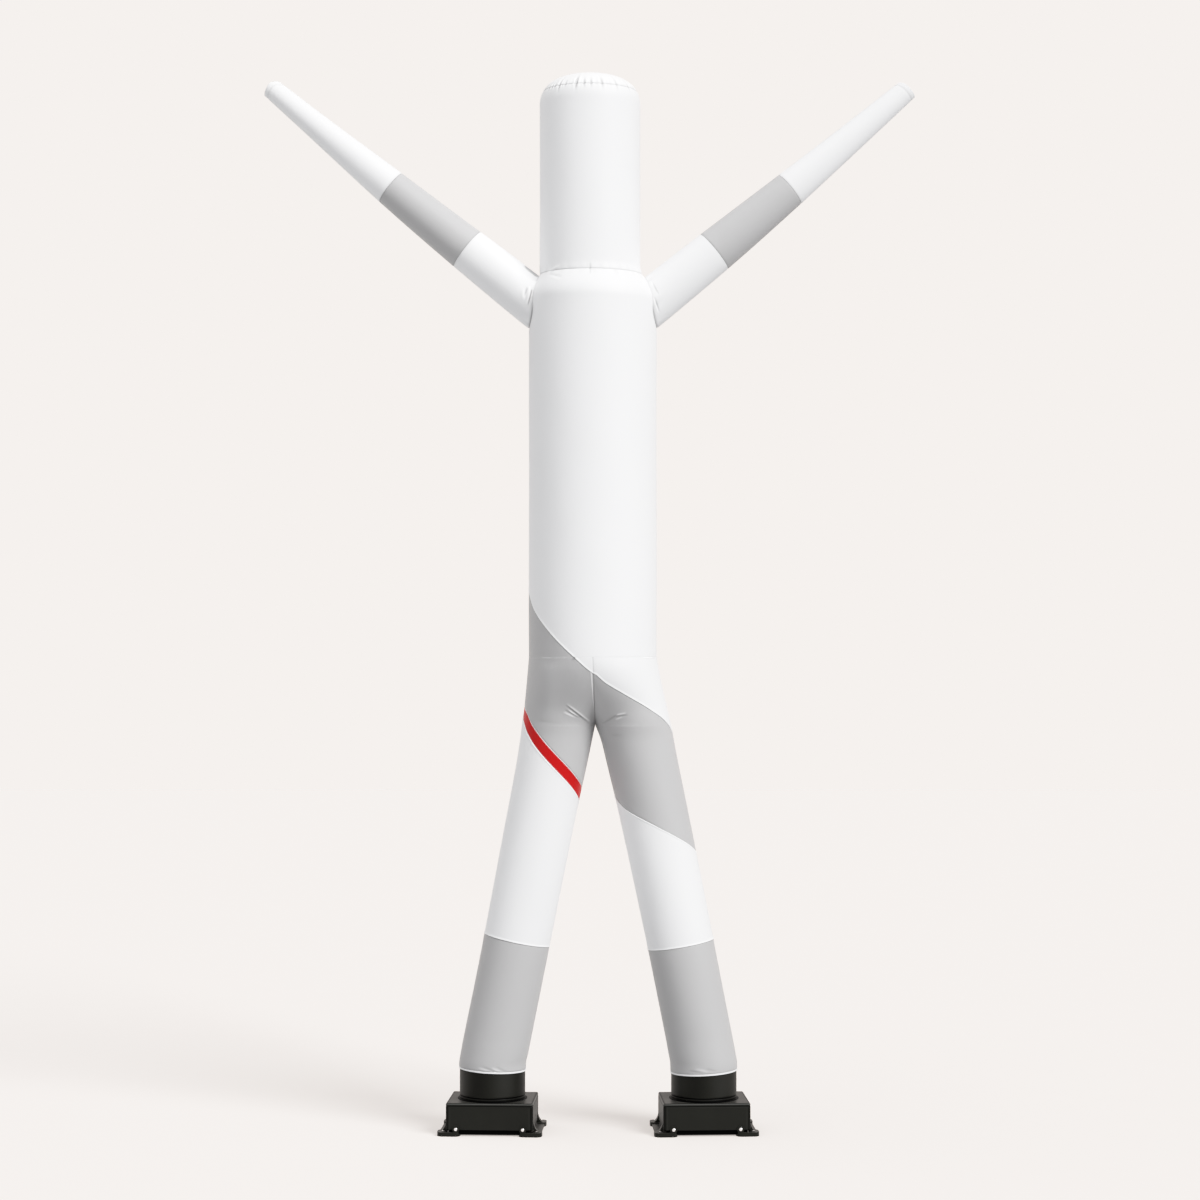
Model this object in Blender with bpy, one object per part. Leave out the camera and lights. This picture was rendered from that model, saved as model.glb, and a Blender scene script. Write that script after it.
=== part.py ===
"""Inflatable air dancer, 5 m tall: a sewn cloth figure with two legs, each strapped over the round
outlet of its own floor blower.

Metres, +Z up, front towards -Y. The origin is on the floor under the middle of the whole figure.
Every cloth tube is a sheet with its outer face at the named sizes and its thickness inwards, and
each sewn panel is an object of its own, a small gap away from the next one. Left is the -X side.
"""

import math

import bmesh
import bpy
from mathutils import Vector

CLOTH = 0.0025
GAP = 0.0003
SEAM_GAP = 0.0006
HALF_GAP = GAP / 2
# Points nearer than this are one point, and faces that meet more sharply than this stay creased.
SAME_POINT = 2e-6
SHARP_ANGLE = math.radians(35)
SLOPE_STEP = 0.0005

# The column of torso and head, from the hip seam up to the crown.
HIP_Z = 2.242
SHOULDER_Z = 3.926
NECK_Z = 4.051
HEAD_Z = 4.085
DOME_Z = 4.850
CAP_SEAM_Z = 4.915
CROWN_Z = 5.000
TORSO_X, TORSO_RADIUS = 0.0137, 0.3030
NECK_X, NECK_RADIUS = 0.0059, 0.2434
HEAD_X, HEAD_RADIUS = 0.0005, 0.2385
DOME_POWER = 2.4
BODY_COLUMNS = 48
PLEATS = 24
PLEAT_DEPTH = 0.0035
PLEAT_REACH = 0.030
CAP_GATHER, CAP_MIDDLE = 0.045, 0.050
SASH_COLUMNS = 20

# The legs. Each row is a level: its height and the x of that side there. Above the crotch the legs
# meet at the centre seam, and below it each has an inner side.
SEAM_TOP_X = 0.0137
CROTCH_X, CROTCH_Z = 0.0256, 1.919
SEAM_POWER = 0.9  # how soon the seam between the legs opens upwards: 0.5 is round, 1 is sharp
LEG_COLUMNS = 32
# height, x
LEFT_LEG_OUTER = (
    (2.242, -0.2893),
    (2.132, -0.2986),
    (1.991, -0.3122),
    (1.919, -0.3223),
    (1.754, -0.3465),
    (1.470, -0.3982),
    (0.901, -0.5067),
    (0.427, -0.6010),
    (0.368, -0.6118),
    (0.325, -0.6191),
    (0.280, -0.6200),
)
LEFT_LEG_INNER = (
    (1.919, 0.0256),
    (1.849, 0.0109),
    (1.754, -0.0090),
    (1.470, -0.0705),
    (0.901, -0.1844),
    (0.427, -0.2790),
    (0.368, -0.2913),
    (0.325, -0.3011),
    (0.280, -0.3024),
)
RIGHT_LEG_OUTER = (
    (2.242, 0.3167),
    (2.132, 0.3372),
    (1.991, 0.3690),
    (1.919, 0.3850),
    (1.754, 0.4171),
    (1.470, 0.4735),
    (0.901, 0.5873),
    (0.427, 0.6786),
    (0.368, 0.6895),
    (0.325, 0.6975),
    (0.280, 0.6988),
)
RIGHT_LEG_INNER = (
    (1.919, 0.0256),
    (1.849, 0.0521),
    (1.754, 0.0763),
    (1.470, 0.1440),
    (0.901, 0.2655),
    (0.427, 0.3602),
    (0.368, 0.3710),
    (0.325, 0.3795),
    (0.280, 0.3812),
)
# A leaning round tube is narrower front to back than across its level sections.
LEG_DEPTH_SHARE = 0.981
LEAN_START, LEAN_END = 0.25, 0.10
# How strongly a leg's columns crowd towards its open seam side, so that they never cross.
MOST_CROWDING, CROWDING_REACH = 6, 0.8
ANKLE_Z, ANKLE_ROW_Z = 0.345, 0.427
# The row of points through the crotch rises or falls to this height on a leg's outer side.
LEFT_CROTCH_ROW_Z, RIGHT_CROTCH_ROW_Z = 2.120, 1.700
CROTCH_ROWS = (0.0, 0.06, 0.22, 0.5, 1.0)
HIP_CORNER_COLUMNS = 5

# Where panels of different colour meet, as heights. Share 0 is the -X side of the torso and the
# seam or inner side of a leg, share 1 the far side, and front and back are cut alike.
# share, height
TORSO_SASH_EDGE = (
    (0.00, 2.566),
    (0.06, 2.535),
    (0.16, 2.443),
    (0.32, 2.310),
    (0.4166, 2.242),
    (1.00, 1.800),
)
LEFT_SASH_TOP = ((0.00, 2.166), (0.11, 2.184), (0.21, 2.208), (0.3125, 2.242), (1.00, 2.566))
LEFT_SASH_END = (
    (0.00, 1.615),
    (0.04, 1.624),
    (0.21, 1.668),
    (0.49, 1.788),
    (0.69, 1.885),
    (0.88, 1.972),
    (1.00, 2.008),
)
LEFT_STRIPE_END = (
    (0.00, 1.560),
    (0.06, 1.573),
    (0.25, 1.635),
    (0.47, 1.726),
    (0.75, 1.855),
    (0.91, 1.930),
    (1.00, 1.950),
)
RIGHT_SASH_EDGE = (
    (0.00, 2.166),
    (0.27, 2.114),
    (0.54, 2.052),
    (0.75, 1.979),
    (0.90, 1.908),
    (1.00, 1.880),
)
RIGHT_SASH_END = ((0.00, 1.586), (0.07, 1.572), (0.22, 1.526), (0.45, 1.464), (0.82, 1.356), (1.00, 1.318))
LEFT_FOOT_EDGE, LEFT_FOOT_TILT = 0.904, 0.0324
RIGHT_FOOT_EDGE, RIGHT_FOOT_TILT = 0.879, 0.0268
LEFT_HEM, LEFT_HEM_TILT = 0.2925, 0.0069
RIGHT_HEM, RIGHT_HEM_TILT = 0.2815, 0.0078
HEM_HEIGHT = 0.010

# The arms: tapered tubes that sag a little. Distances along an arm are from its open tip.
ARM_COLUMNS = 28
ARM_SAG, ARM_SAG_SPAN = 0.0095, 1.75
LEFT_ARM_TIP, LEFT_ARM_ROOT = (-1.5231, 4.9489), (-0.2678, 3.9300)
RIGHT_ARM_TIP, RIGHT_ARM_ROOT = (1.5072, 4.9340), (0.3076, 3.9410)
# distance from the tip, radius
LEFT_ARM_RADII = (
    (0.00, 0.0470),
    (0.25, 0.0582),
    (0.76, 0.0865),
    (1.16, 0.1020),
    (1.61, 0.1135),
    (1.86, 0.1150),
)
RIGHT_ARM_RADII = (
    (0.00, 0.0510),
    (0.25, 0.0626),
    (0.76, 0.0877),
    (1.16, 0.1038),
    (1.55, 0.1115),
    (1.86, 0.1150),
)
LEFT_ARM_BAND = (0.754, 1.220)
RIGHT_ARM_BAND = (0.735, 1.200)
# The open tips are cut unevenly: how far the upper and the lower side fall short of the rest.
LEFT_TIP_CUT = (0.034, 0.015)
RIGHT_TIP_CUT = (0.018, 0.000)
HAND_ROW, ROOT_ROW = 0.240, 1.450
ARM_BORE = (1.35, 1.80)
ARM_BORE_INSET = 0.005
ARM_SEAT_GAP = 0.0009
HALVINGS = 40

# The two blowers. Sizes are in a blower's own frame, centred on its outlet.
LEFT_BLOWER_X, RIGHT_BLOWER_X = -0.4612, 0.5400
BLOWER_TOE_OUT = math.radians(3.0)
HOUSING_WIDTH, HOUSING_DEPTH = 0.410, 0.340
HOUSING_BOTTOM, HOUSING_TOP = 0.0105, 0.1550
HOUSING_EDGE, HOUSING_EDGE_STEPS = 0.010, 3
OUTLET_RADIUS, OUTLET_WALL = 0.1551, 0.005
OUTLET_SHOULDER, OUTLET_TOP, OUTLET_TOP_RADIUS = 0.300, 0.340, 0.144
OUTLET_LIP, OUTLET_LIP_HEIGHT = 0.0035, 0.007
OUTLET_SIDES = 40
# Each side has a base: a foot at both corners and a thinner flange between them.
FOOT_HEIGHT = 0.020
FOOT_WIDTH, FOOT_DEPTH = 0.108, 0.085
FOOT_OVERHANG, FOOT_FRONT = 0.041, 0.010
FOOT_CORNER, FOOT_CORNER_STEPS = 0.026, 5
FLANGE_BOTTOM, FLANGE_TOP, FLANGE_REACH = 0.004, 0.015, 0.034
GUSSET_TOP, GUSSET_REACH = 0.072, 0.034
GUSSET_FROM, GUSSET_TO, GUSSET_STEPS = 0.108, 0.142, 6
TAB_X, TAB_HEIGHT, TAB_RADIUS, TAB_THICKNESS = 0.157, 0.034, 0.017, 0.006
TAB_SIDES = 16
# How far shapes that become one piece reach into each other.
JOIN = 0.004
SCREW_RADIUS, SCREW_HEIGHT, SCREW_SIDES = 0.0090, 0.004, 12
# share of the radius, share of the height
SCREW_PROFILE = ((1.0, 0.0), (1.0, 0.5), (0.6, 1.0))
EAR_SCREW_INSET = (0.013, 0.017)


def material(name, colour, roughness, metallic=0.0):
    """A plain Principled material."""
    made = bpy.data.materials.new(name)
    made.use_nodes = True
    shader = made.node_tree.nodes["Principled BSDF"]
    shader.inputs["Base Color"].default_value = (*colour, 1.0)
    shader.inputs["Roughness"].default_value = roughness
    shader.inputs["Metallic"].default_value = metallic
    return made


def curve_through(rows, at, flat=False):
    """The value at a distance on a smooth curve through rows of (distance, value).

    With flat the curve leaves its two ends level.
    """
    rows = sorted(rows)
    at = min(max(at, rows[0][0]), rows[-1][0])
    low = max(i for i in range(len(rows) - 1) if rows[i][0] <= at)
    high = low + 1
    before, after = max(low - 1, 0), min(high + 1, len(rows) - 1)
    width = rows[high][0] - rows[low][0]
    low_slope = (rows[high][1] - rows[before][1]) / (rows[high][0] - rows[before][0])
    high_slope = (rows[after][1] - rows[low][1]) / (rows[after][0] - rows[low][0])
    if flat and before == low:
        low_slope = 0
    if flat and after == high:
        high_slope = 0
    s = (at - rows[low][0]) / width
    return (
        (1 + 2 * s) * (1 - s) ** 2 * rows[low][1]
        + s * (1 - s) ** 2 * width * low_slope
        + s * s * (3 - 2 * s) * rows[high][1]
        - s * s * (1 - s) * width * high_slope
    )


def across(u):
    """The share of the way from the seam side (0) to the far side (1), the same front and back."""
    return 1 - abs(2 * (u % 1) - 1)


def body_x(z):
    """The x of the column's middle."""
    levels = ((SHOULDER_Z, TORSO_X), (NECK_Z, NECK_X), (HEAD_Z, HEAD_X))
    if z <= SHOULDER_Z:
        return TORSO_X
    if z >= HEAD_Z:
        return HEAD_X
    low, high = (levels[0], levels[1]) if z < NECK_Z else (levels[1], levels[2])
    return low[1] + (high[1] - low[1]) * (z - low[0]) / (high[0] - low[0])


def body_radius(z):
    """The column's radius: torso, rounded shoulder, neck seam, head and the start of its dome."""
    if z <= SHOULDER_Z:
        return TORSO_RADIUS
    if z <= NECK_Z:
        turn = math.pi / 2 * (NECK_Z - z) / (NECK_Z - SHOULDER_Z)
        return NECK_RADIUS + (TORSO_RADIUS - NECK_RADIUS) * math.sin(turn)
    if z <= HEAD_Z:
        return HEAD_RADIUS + (NECK_RADIUS - HEAD_RADIUS) * (HEAD_Z - z) / (HEAD_Z - NECK_Z)
    if z <= DOME_Z:
        return HEAD_RADIUS
    rise = (z - DOME_Z) / (CROWN_Z - DOME_Z)
    return HEAD_RADIUS * max(0.0, 1 - rise**DOME_POWER) ** (1 / DOME_POWER)


def dome_height(radius):
    """The height of the head's dome at a distance from its middle."""
    share = min(1.0, radius / HEAD_RADIUS)
    return DOME_Z + (CROWN_Z - DOME_Z) * (1 - share**DOME_POWER) ** (1 / DOME_POWER)


def pleat(u, from_seam):
    """How far the gathers beside the cap's seam stand out."""
    return PLEAT_DEPTH * math.cos(2 * math.pi * PLEATS * u) * math.exp(-((from_seam / PLEAT_REACH) ** 2))


def column_point(u, radius, z, x, depth, radial, up):
    """A point of the column, moved inwards by depth along the direction (radial, up)."""
    angle = 2 * math.pi * u
    side, front = -math.cos(angle), -math.sin(angle)
    reach = radius - depth * radial
    return Vector((x + reach * side, reach * front, z - depth * up))


def body(u, z, depth):
    """The torso and head: u runs from the -X side over the front and back round."""
    slope = (body_radius(z + SLOPE_STEP) - body_radius(z - SLOPE_STEP)) / (2 * SLOPE_STEP)
    length = math.hypot(1, slope)
    radius = body_radius(z)
    if z > DOME_Z:
        radius += pleat(u, z - CAP_SEAM_Z)
    return column_point(u, radius, z, body_x(z), depth, 1 / length, -slope / length)


def crown(u, radius, depth):
    """The round cap, by its distance from the middle."""
    outside, inside = dome_height(radius + SLOPE_STEP), dome_height(max(radius - SLOPE_STEP, 0))
    slope = (outside - inside) / (2 * SLOPE_STEP)
    length = math.hypot(1, slope)
    seam_radius = body_radius(CAP_SEAM_Z)
    ruffled = radius + pleat(u, seam_radius - radius) * min(1, radius / seam_radius)
    return column_point(u, ruffled, dome_height(radius), HEAD_X, depth, -slope / length, 1 / length)


def leg(outer_side, inner_side, inward):
    """A leg's surface: u runs from the centre seam over the front and outer side to the back."""

    def surface(u, z, depth):
        outer = curve_through(outer_side, z)
        if z > CROTCH_Z:
            drop = min(1, (HIP_Z - z) / (HIP_Z - CROTCH_Z))
            inner = SEAM_TOP_X + (CROTCH_X - SEAM_TOP_X) * drop - inward * HALF_GAP
            seam_depth = TORSO_RADIUS * (1 - drop * drop) ** SEAM_POWER
            across_leg = abs(inner - outer)
            round_radius = (across_leg**2 + seam_depth**2) / (2 * across_leg)
            start = math.atan2(seam_depth, across_leg - round_radius)
            radii = (round_radius, round_radius)
        else:
            start = 0
            inner = curve_through(inner_side, z) - inward * HALF_GAP
            half = abs(inner - outer) / 2
            flattened = max(0, min(1, (CROTCH_Z - z) / LEAN_START, (z - ANKLE_Z) / LEAN_END))
            radii = (half, half * (1 + (LEG_DEPTH_SHARE - 1) * flattened))
        crowd = min(MOST_CROWDING, CROWDING_REACH * math.pi / max(start, 0.001))
        shift = start * (1 - across(u)) ** crowd
        angle = 2 * math.pi * u + (shift if u < 0.5 else -shift)
        middle = outer + inward * radii[0]
        return Vector(
            (
                middle + inward * (radii[0] - depth) * math.cos(angle),
                -(radii[1] - depth) * math.sin(angle),
                z,
            )
        )

    return surface


def arm(tip, root, radii):
    """An arm's surface: u runs round it from its upper side, the distance is from its tip."""
    start, end = Vector((tip[0], 0, tip[1])), Vector((root[0], 0, root[1]))
    along = (end - start).normalized()
    upward = Vector((-along.z, 0, along.x))
    if upward.z < 0:
        upward = -upward

    def surface(u, distance, depth):
        angle = 2 * math.pi * u
        reach = curve_through(radii, distance) - depth
        sag = ARM_SAG * math.sin(math.pi * distance / ARM_SAG_SPAN)
        outwards = upward * math.cos(angle) + Vector((0, -math.sin(angle), 0))
        return start + along * distance - upward * sag + reach * outwards

    return surface


def meets_body(surface, u, depth):
    """The distance along an arm at which it meets the torso or head, a small gap short of it."""
    near, far = ARM_BORE
    for _ in range(HALVINGS):
        middle = (near + far) / 2
        point = surface(u, middle, depth)
        clear = math.hypot(point.x - body_x(point.z), point.y) - body_radius(point.z) - ARM_SEAT_GAP
        near, far = (middle, far) if clear > 0 else (near, middle)
    return near


def finish(mesh, name, look, parent=None, smooth=True):
    """Puts a bmesh into a new object with its faces out and its round faces shaded smooth."""
    bmesh.ops.remove_doubles(mesh, verts=mesh.verts, dist=SAME_POINT)
    bmesh.ops.recalc_face_normals(mesh, faces=mesh.faces)
    data = bpy.data.meshes.new(name)
    mesh.to_mesh(data)
    mesh.free()
    if smooth:
        data.shade_smooth()
        data.set_sharp_from_angle(angle=SHARP_ANGLE)
    data.materials.append(look)
    made = bpy.data.objects.new(name, data)
    bpy.context.scene.collection.objects.link(made)
    made.parent = parent
    return made


def panel(name, look, surface, guides, rows, columns, span=(0.0, 1.0), ring=True, pole=None):
    """A cloth panel with thickness, between guide curves across the surface.

    guides are functions of (u, depth) that give the surface's second coordinate, rows the number
    of rows between each pair of them. A ring closes on itself; a pole closes the last row into a
    point at that coordinate.
    """
    mesh = bmesh.new()
    count = columns if ring else columns + 1
    faces = []
    for depth in (0.0, CLOTH):
        levels = []
        for index in range(len(guides) - 1):
            last = index == len(guides) - 2
            for row in range(rows[index] + last):
                share = row / rows[index]
                level = []
                for column in range(count):
                    u = span[0] + (span[1] - span[0]) * column / columns
                    low, high = guides[index](u, depth), guides[index + 1](u, depth)
                    level.append(mesh.verts.new(surface(u, low + (high - low) * share, depth)))
                levels.append(level)
        faces.append(levels)
    outer, inner = faces
    wide = range(columns)
    for levels in faces:
        for below, above in zip(levels, levels[1:]):
            for i in wide:
                j = (i + 1) % count
                mesh.faces.new((below[i], below[j], above[j], above[i]))
    ends = [0] if pole is not None else [0, -1]
    for end in ends:
        for i in wide:
            j = (i + 1) % count
            mesh.faces.new((outer[end][i], outer[end][j], inner[end][j], inner[end][i]))
    if pole is not None:
        for levels, depth in zip(faces, (0.0, CLOTH)):
            middle = mesh.verts.new(surface(0.0, pole, depth))
            for i in wide:
                mesh.faces.new((levels[-1][i], levels[-1][(i + 1) % count], middle))
    if not ring:
        for k in range(len(outer) - 1):
            open_here = any((outer[row][0].co - outer[row][-1].co).length > 1e-5 for row in (k, k + 1))
            for side in (0, -1):
                if open_here:
                    mesh.faces.new((outer[k][side], outer[k + 1][side], inner[k + 1][side], inner[k][side]))
    return finish(mesh, name, look)


def level(z, share=0.0):
    """A guide at one height, or a share of the gap above or below it."""
    return lambda u, depth: z + share * GAP


def cut(rows, share=0.0):
    """A guide along a cut that is given by the share across."""
    return lambda u, depth: curve_through(rows, across(u), flat=True) + share * SEAM_GAP


def slanted(middle, tilt, share=0.0):
    """A guide along a flat cut, higher by the tilt on the outer side and lower on the inner."""
    return lambda u, depth: middle - tilt * math.cos(math.pi * across(u)) + share * GAP


def boolean(target, tool, operation):
    """Cuts or joins with a hidden helper, which stays in the scene as a wire."""
    tool.hide_render = True
    tool.display_type = "WIRE"
    modifier = target.modifiers.new(tool.name, "BOOLEAN")
    modifier.operation = operation
    modifier.object = tool
    modifier.solver = "EXACT"


def build_column(looks):
    """Cap, head and torso, and the corner of the sash on the torso's -X side."""
    seam_radius = body_radius(CAP_SEAM_Z)
    panel(
        "head_cap",
        looks["white"],
        crown,
        [level(seam_radius, -0.5), level(seam_radius - CAP_GATHER), level(CAP_MIDDLE)],
        [2, 2],
        BODY_COLUMNS,
        pole=0.0,
    )
    panel(
        "head",
        looks["white"],
        body,
        [level(NECK_Z, 0.5), level(HEAD_Z), level(DOME_Z), level(CAP_SEAM_Z, -0.5)],
        [1, 1, 3],
        BODY_COLUMNS,
    )

    def torso_low(u, depth):
        return max(HIP_Z, curve_through(TORSO_SASH_EDGE, across(u), flat=True)) + HALF_GAP

    torso = panel(
        "torso",
        looks["white"],
        body,
        [torso_low, level(SHOULDER_Z), level(NECK_Z, -0.5)],
        [3, 5],
        BODY_COLUMNS,
    )
    reach = SASH_COLUMNS / 2 / BODY_COLUMNS
    panel(
        "torso_sash",
        looks["grey"],
        body,
        [level(HIP_Z, 0.5), cut(TORSO_SASH_EDGE, -0.5)],
        [2],
        SASH_COLUMNS,
        span=(-reach, reach),
        ring=False,
    )
    return torso


def build_leg(side, surface, looks, cuts, crotch_row_z, sash_top, foot, hem):
    """One leg's panels, from the sash down to the hem over the outlet."""
    name = "leg_" + side

    def crowded(share):
        """A guide on the way up from the crotch, near which the guides lie closer together."""

        def guide(u, depth):
            low = CROTCH_Z + (crotch_row_z - CROTCH_Z) * across(u)
            return low + (sash_top(u, depth) - low) * share

        return guide

    guides = [cut(cuts[0], 0.5)] + [crowded(share) for share in CROTCH_ROWS]
    panel(name + "_sash", looks["grey"], surface, guides, [2, 1, 1, 1, 1], LEG_COLUMNS, ring=False)
    white_top = cuts[0]
    if len(cuts) > 1:
        white_top = cuts[1]
        panel(
            name + "_stripe",
            looks["red"],
            surface,
            [cut(cuts[1], 0.5), cut(cuts[0], -0.5)],
            [1],
            LEG_COLUMNS,
        )
    panel(
        name + "_white",
        looks["white"],
        surface,
        [slanted(*foot, 0.5), cut(white_top, -0.5)],
        [3],
        LEG_COLUMNS,
    )
    hem_middle, hem_tilt = hem
    foot_guides = [
        slanted(hem_middle + HEM_HEIGHT, hem_tilt, 0.5),
        level(ANKLE_Z),
        level(ANKLE_ROW_Z),
        slanted(*foot, -0.5),
    ]
    panel(name + "_foot", looks["grey"], surface, foot_guides, [2, 2, 1], LEG_COLUMNS)
    panel(
        name + "_hem",
        looks["white"],
        surface,
        [slanted(hem_middle, hem_tilt), slanted(hem_middle + HEM_HEIGHT, hem_tilt, -0.5)],
        [1],
        LEG_COLUMNS,
    )


def build_legs(looks):
    """Both legs, from the hip seam to the hems."""
    left = leg(LEFT_LEG_OUTER, LEFT_LEG_INNER, 1)
    right = leg(RIGHT_LEG_OUTER, RIGHT_LEG_INNER, -1)

    def left_sash_top(u, depth):
        edge = curve_through(LEFT_SASH_TOP, across(u)) - SEAM_GAP / 2
        return min(HIP_Z - HALF_GAP, edge)

    def left_corner_low(u, depth):
        edge = curve_through(LEFT_SASH_TOP, across(u)) + SEAM_GAP / 2
        return min(HIP_Z - HALF_GAP, edge)

    build_leg(
        "left",
        left,
        looks,
        [LEFT_SASH_END, LEFT_STRIPE_END],
        LEFT_CROTCH_ROW_Z,
        left_sash_top,
        (LEFT_FOOT_EDGE, LEFT_FOOT_TILT),
        (LEFT_HEM, LEFT_HEM_TILT),
    )
    build_leg(
        "right",
        right,
        looks,
        [RIGHT_SASH_END],
        RIGHT_CROTCH_ROW_Z,
        cut(RIGHT_SASH_EDGE, -0.5),
        (RIGHT_FOOT_EDGE, RIGHT_FOOT_TILT),
        (RIGHT_HEM, RIGHT_HEM_TILT),
    )
    corner = HIP_CORNER_COLUMNS / LEG_COLUMNS
    for end, span in (("front", (0.0, corner)), ("back", (1.0 - corner, 1.0))):
        panel(
            "leg_left_corner_" + end,
            looks["white"],
            left,
            [left_corner_low, level(HIP_Z, -0.5)],
            [1],
            HIP_CORNER_COLUMNS,
            span=span,
            ring=False,
        )
    panel(
        "leg_right_top",
        looks["white"],
        right,
        [cut(RIGHT_SASH_EDGE, 0.5), level(HIP_Z, -0.5)],
        [3],
        LEG_COLUMNS,
        ring=False,
    )


def build_arm(side, surface, band, tip_cut, looks, torso):
    """One arm's three panels, and the hole in the torso that lets air into it."""
    name = "arm_" + side

    def open_tip(u, depth):
        upper = (1 + math.cos(2 * math.pi * u)) / 2
        return tip_cut[0] * upper**4 + tip_cut[1] * (1 - upper) ** 2

    def root_end(u, depth):
        return meets_body(surface, u, depth)

    hand = [open_tip, level(HAND_ROW), level(band[0], -0.5)]
    panel(name + "_hand", looks["white"], surface, hand, [2, 1], ARM_COLUMNS)
    middle = [level(band[0], 0.5), level(band[1], -0.5)]
    panel(name + "_band", looks["grey"], surface, middle, [1], ARM_COLUMNS)
    root_guides = [level(band[1], 0.5), level(ROOT_ROW), root_end]
    panel(name + "_root", looks["white"], surface, root_guides, [1, 2], ARM_COLUMNS)

    bore = bmesh.new()
    rings = []
    for distance in ARM_BORE:
        ring = [
            bore.verts.new(surface(column / ARM_COLUMNS, distance, CLOTH + ARM_BORE_INSET))
            for column in range(ARM_COLUMNS)
        ]
        bore.faces.new(ring)
        rings.append(ring)
    for i in range(ARM_COLUMNS):
        j = (i + 1) % ARM_COLUMNS
        bore.faces.new((rings[0][i], rings[0][j], rings[1][j], rings[1][i]))
    boolean(torso, finish(bore, name + "_bore", looks["white"]), "DIFFERENCE")


def turned(name, look, parent, profile, sides):
    """A ring-shaped solid: a closed profile of (radius, height) turned about the vertical."""
    mesh = bmesh.new()
    rings = [
        [
            mesh.verts.new(
                (radius * math.cos(2 * math.pi * i / sides), radius * math.sin(2 * math.pi * i / sides), z)
            )
            for i in range(sides)
        ]
        for radius, z in profile
    ]
    for k, ring in enumerate(rings):
        after = rings[(k + 1) % len(rings)]
        for i in range(sides):
            j = (i + 1) % sides
            mesh.faces.new((ring[i], ring[j], after[j], after[i]))
    return finish(mesh, name, look, parent)


def prism(name, look, parent, outline, low, high, place, smooth=False):
    """A solid of one outline. place turns (outline x, outline y, height) into a point."""
    mesh = bmesh.new()
    bottom = [mesh.verts.new(place(x, y, low)) for x, y in outline]
    top = [mesh.verts.new(place(x, y, high)) for x, y in outline]
    mesh.faces.new(bottom)
    mesh.faces.new(top)
    for i in range(len(outline)):
        j = (i + 1) % len(outline)
        mesh.faces.new((bottom[i], bottom[j], top[j], top[i]))
    return finish(mesh, name, look, parent, smooth)


def rounded_rectangle(x0, x1, y0, y1, radius, steps):
    """A rectangle's outline with round corners."""
    points = []
    corners = ((x1, y1, 0), (x0, y1, 1), (x0, y0, 2), (x1, y0, 3))
    for x, y, quarter in corners:
        middle_x = x - radius if x == x1 else x + radius
        middle_y = y - radius if y == y1 else y + radius
        for step in range(steps + 1):
            angle = math.pi / 2 * (quarter + step / steps)
            points.append((middle_x + radius * math.cos(angle), middle_y + radius * math.sin(angle)))
    return points


def box_outline(x0, x1, y0, y1):
    return [(x0, y0), (x1, y0), (x1, y1), (x0, y1)]


def bevel(made, width, segments, angle=40):
    """Rounds an object's sharp edges."""
    modifier = made.modifiers.new("round_edges", "BEVEL")
    modifier.width = width
    modifier.segments = segments
    modifier.limit_method = "ANGLE"
    modifier.angle_limit = math.radians(angle)


def upright(x, y, z):
    return (x, y, z)


def gusset_outline():
    """A rib's outline, across and up: from the top of a foot in a hollow curve up the side wall."""
    wall = HOUSING_WIDTH / 2
    low = FOOT_HEIGHT - JOIN / 2
    outline = [(wall - JOIN, JOIN), (wall + GUSSET_REACH, JOIN)]
    for step in range(GUSSET_STEPS + 1):
        turn = math.pi / 2 * step / GUSSET_STEPS
        out = wall + GUSSET_REACH * (1 - math.sin(turn))
        outline.append((out, low + (GUSSET_TOP - low) * (1 - math.cos(turn))))
    outline.append((wall - JOIN, GUSSET_TOP))
    return outline


def build_base(name, look, parent, x_side):
    """One side's base: a foot with a rib and a screw tab at each corner, and the flange between."""
    half_width, half_depth = HOUSING_WIDTH / 2, HOUSING_DEPTH / 2
    flange = prism(
        name,
        look,
        parent,
        box_outline(half_width - FLANGE_REACH, half_width + FLANGE_REACH, -GUSSET_FROM, GUSSET_FROM),
        FLANGE_BOTTOM,
        FLANGE_TOP,
        lambda x, y, z: (x_side * x, y, z),
    )
    foot_outline = rounded_rectangle(
        half_width + FOOT_OVERHANG - FOOT_WIDTH,
        half_width + FOOT_OVERHANG,
        half_depth + FOOT_FRONT - FOOT_DEPTH,
        half_depth + FOOT_FRONT,
        FOOT_CORNER,
        FOOT_CORNER_STEPS,
    )
    tab_outline = [
        (
            TAB_X + TAB_RADIUS * math.cos(2 * math.pi * i / TAB_SIDES),
            TAB_HEIGHT + TAB_RADIUS * math.sin(2 * math.pi * i / TAB_SIDES),
        )
        for i in range(TAB_SIDES)
    ]
    for end, y_side in (("front", -1), ("back", 1)):

        def flat(x, y, z):
            return (x_side * x, y_side * y, z)

        def standing(x, z, y):
            return (x_side * x, y_side * y, z)

        label = name + "_" + end
        tab_from, tab_to = half_depth - JOIN, half_depth + TAB_THICKNESS
        shapes = (
            prism(label + "_foot", look, parent, foot_outline, 0.0, FOOT_HEIGHT, flat),
            prism(label + "_rib", look, parent, gusset_outline(), GUSSET_FROM, GUSSET_TO, standing),
            prism(label + "_tab", look, parent, tab_outline, tab_from, tab_to, standing),
        )
        for shape in shapes:
            boolean(flange, shape, "UNION")
    seat = prism(
        name + "_seat",
        look,
        parent,
        box_outline(-half_width - GAP, half_width + GAP, -half_depth - GAP, half_depth + GAP),
        HOUSING_BOTTOM - GAP,
        HOUSING_TOP,
        upright,
    )
    boolean(flange, seat, "DIFFERENCE")


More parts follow.
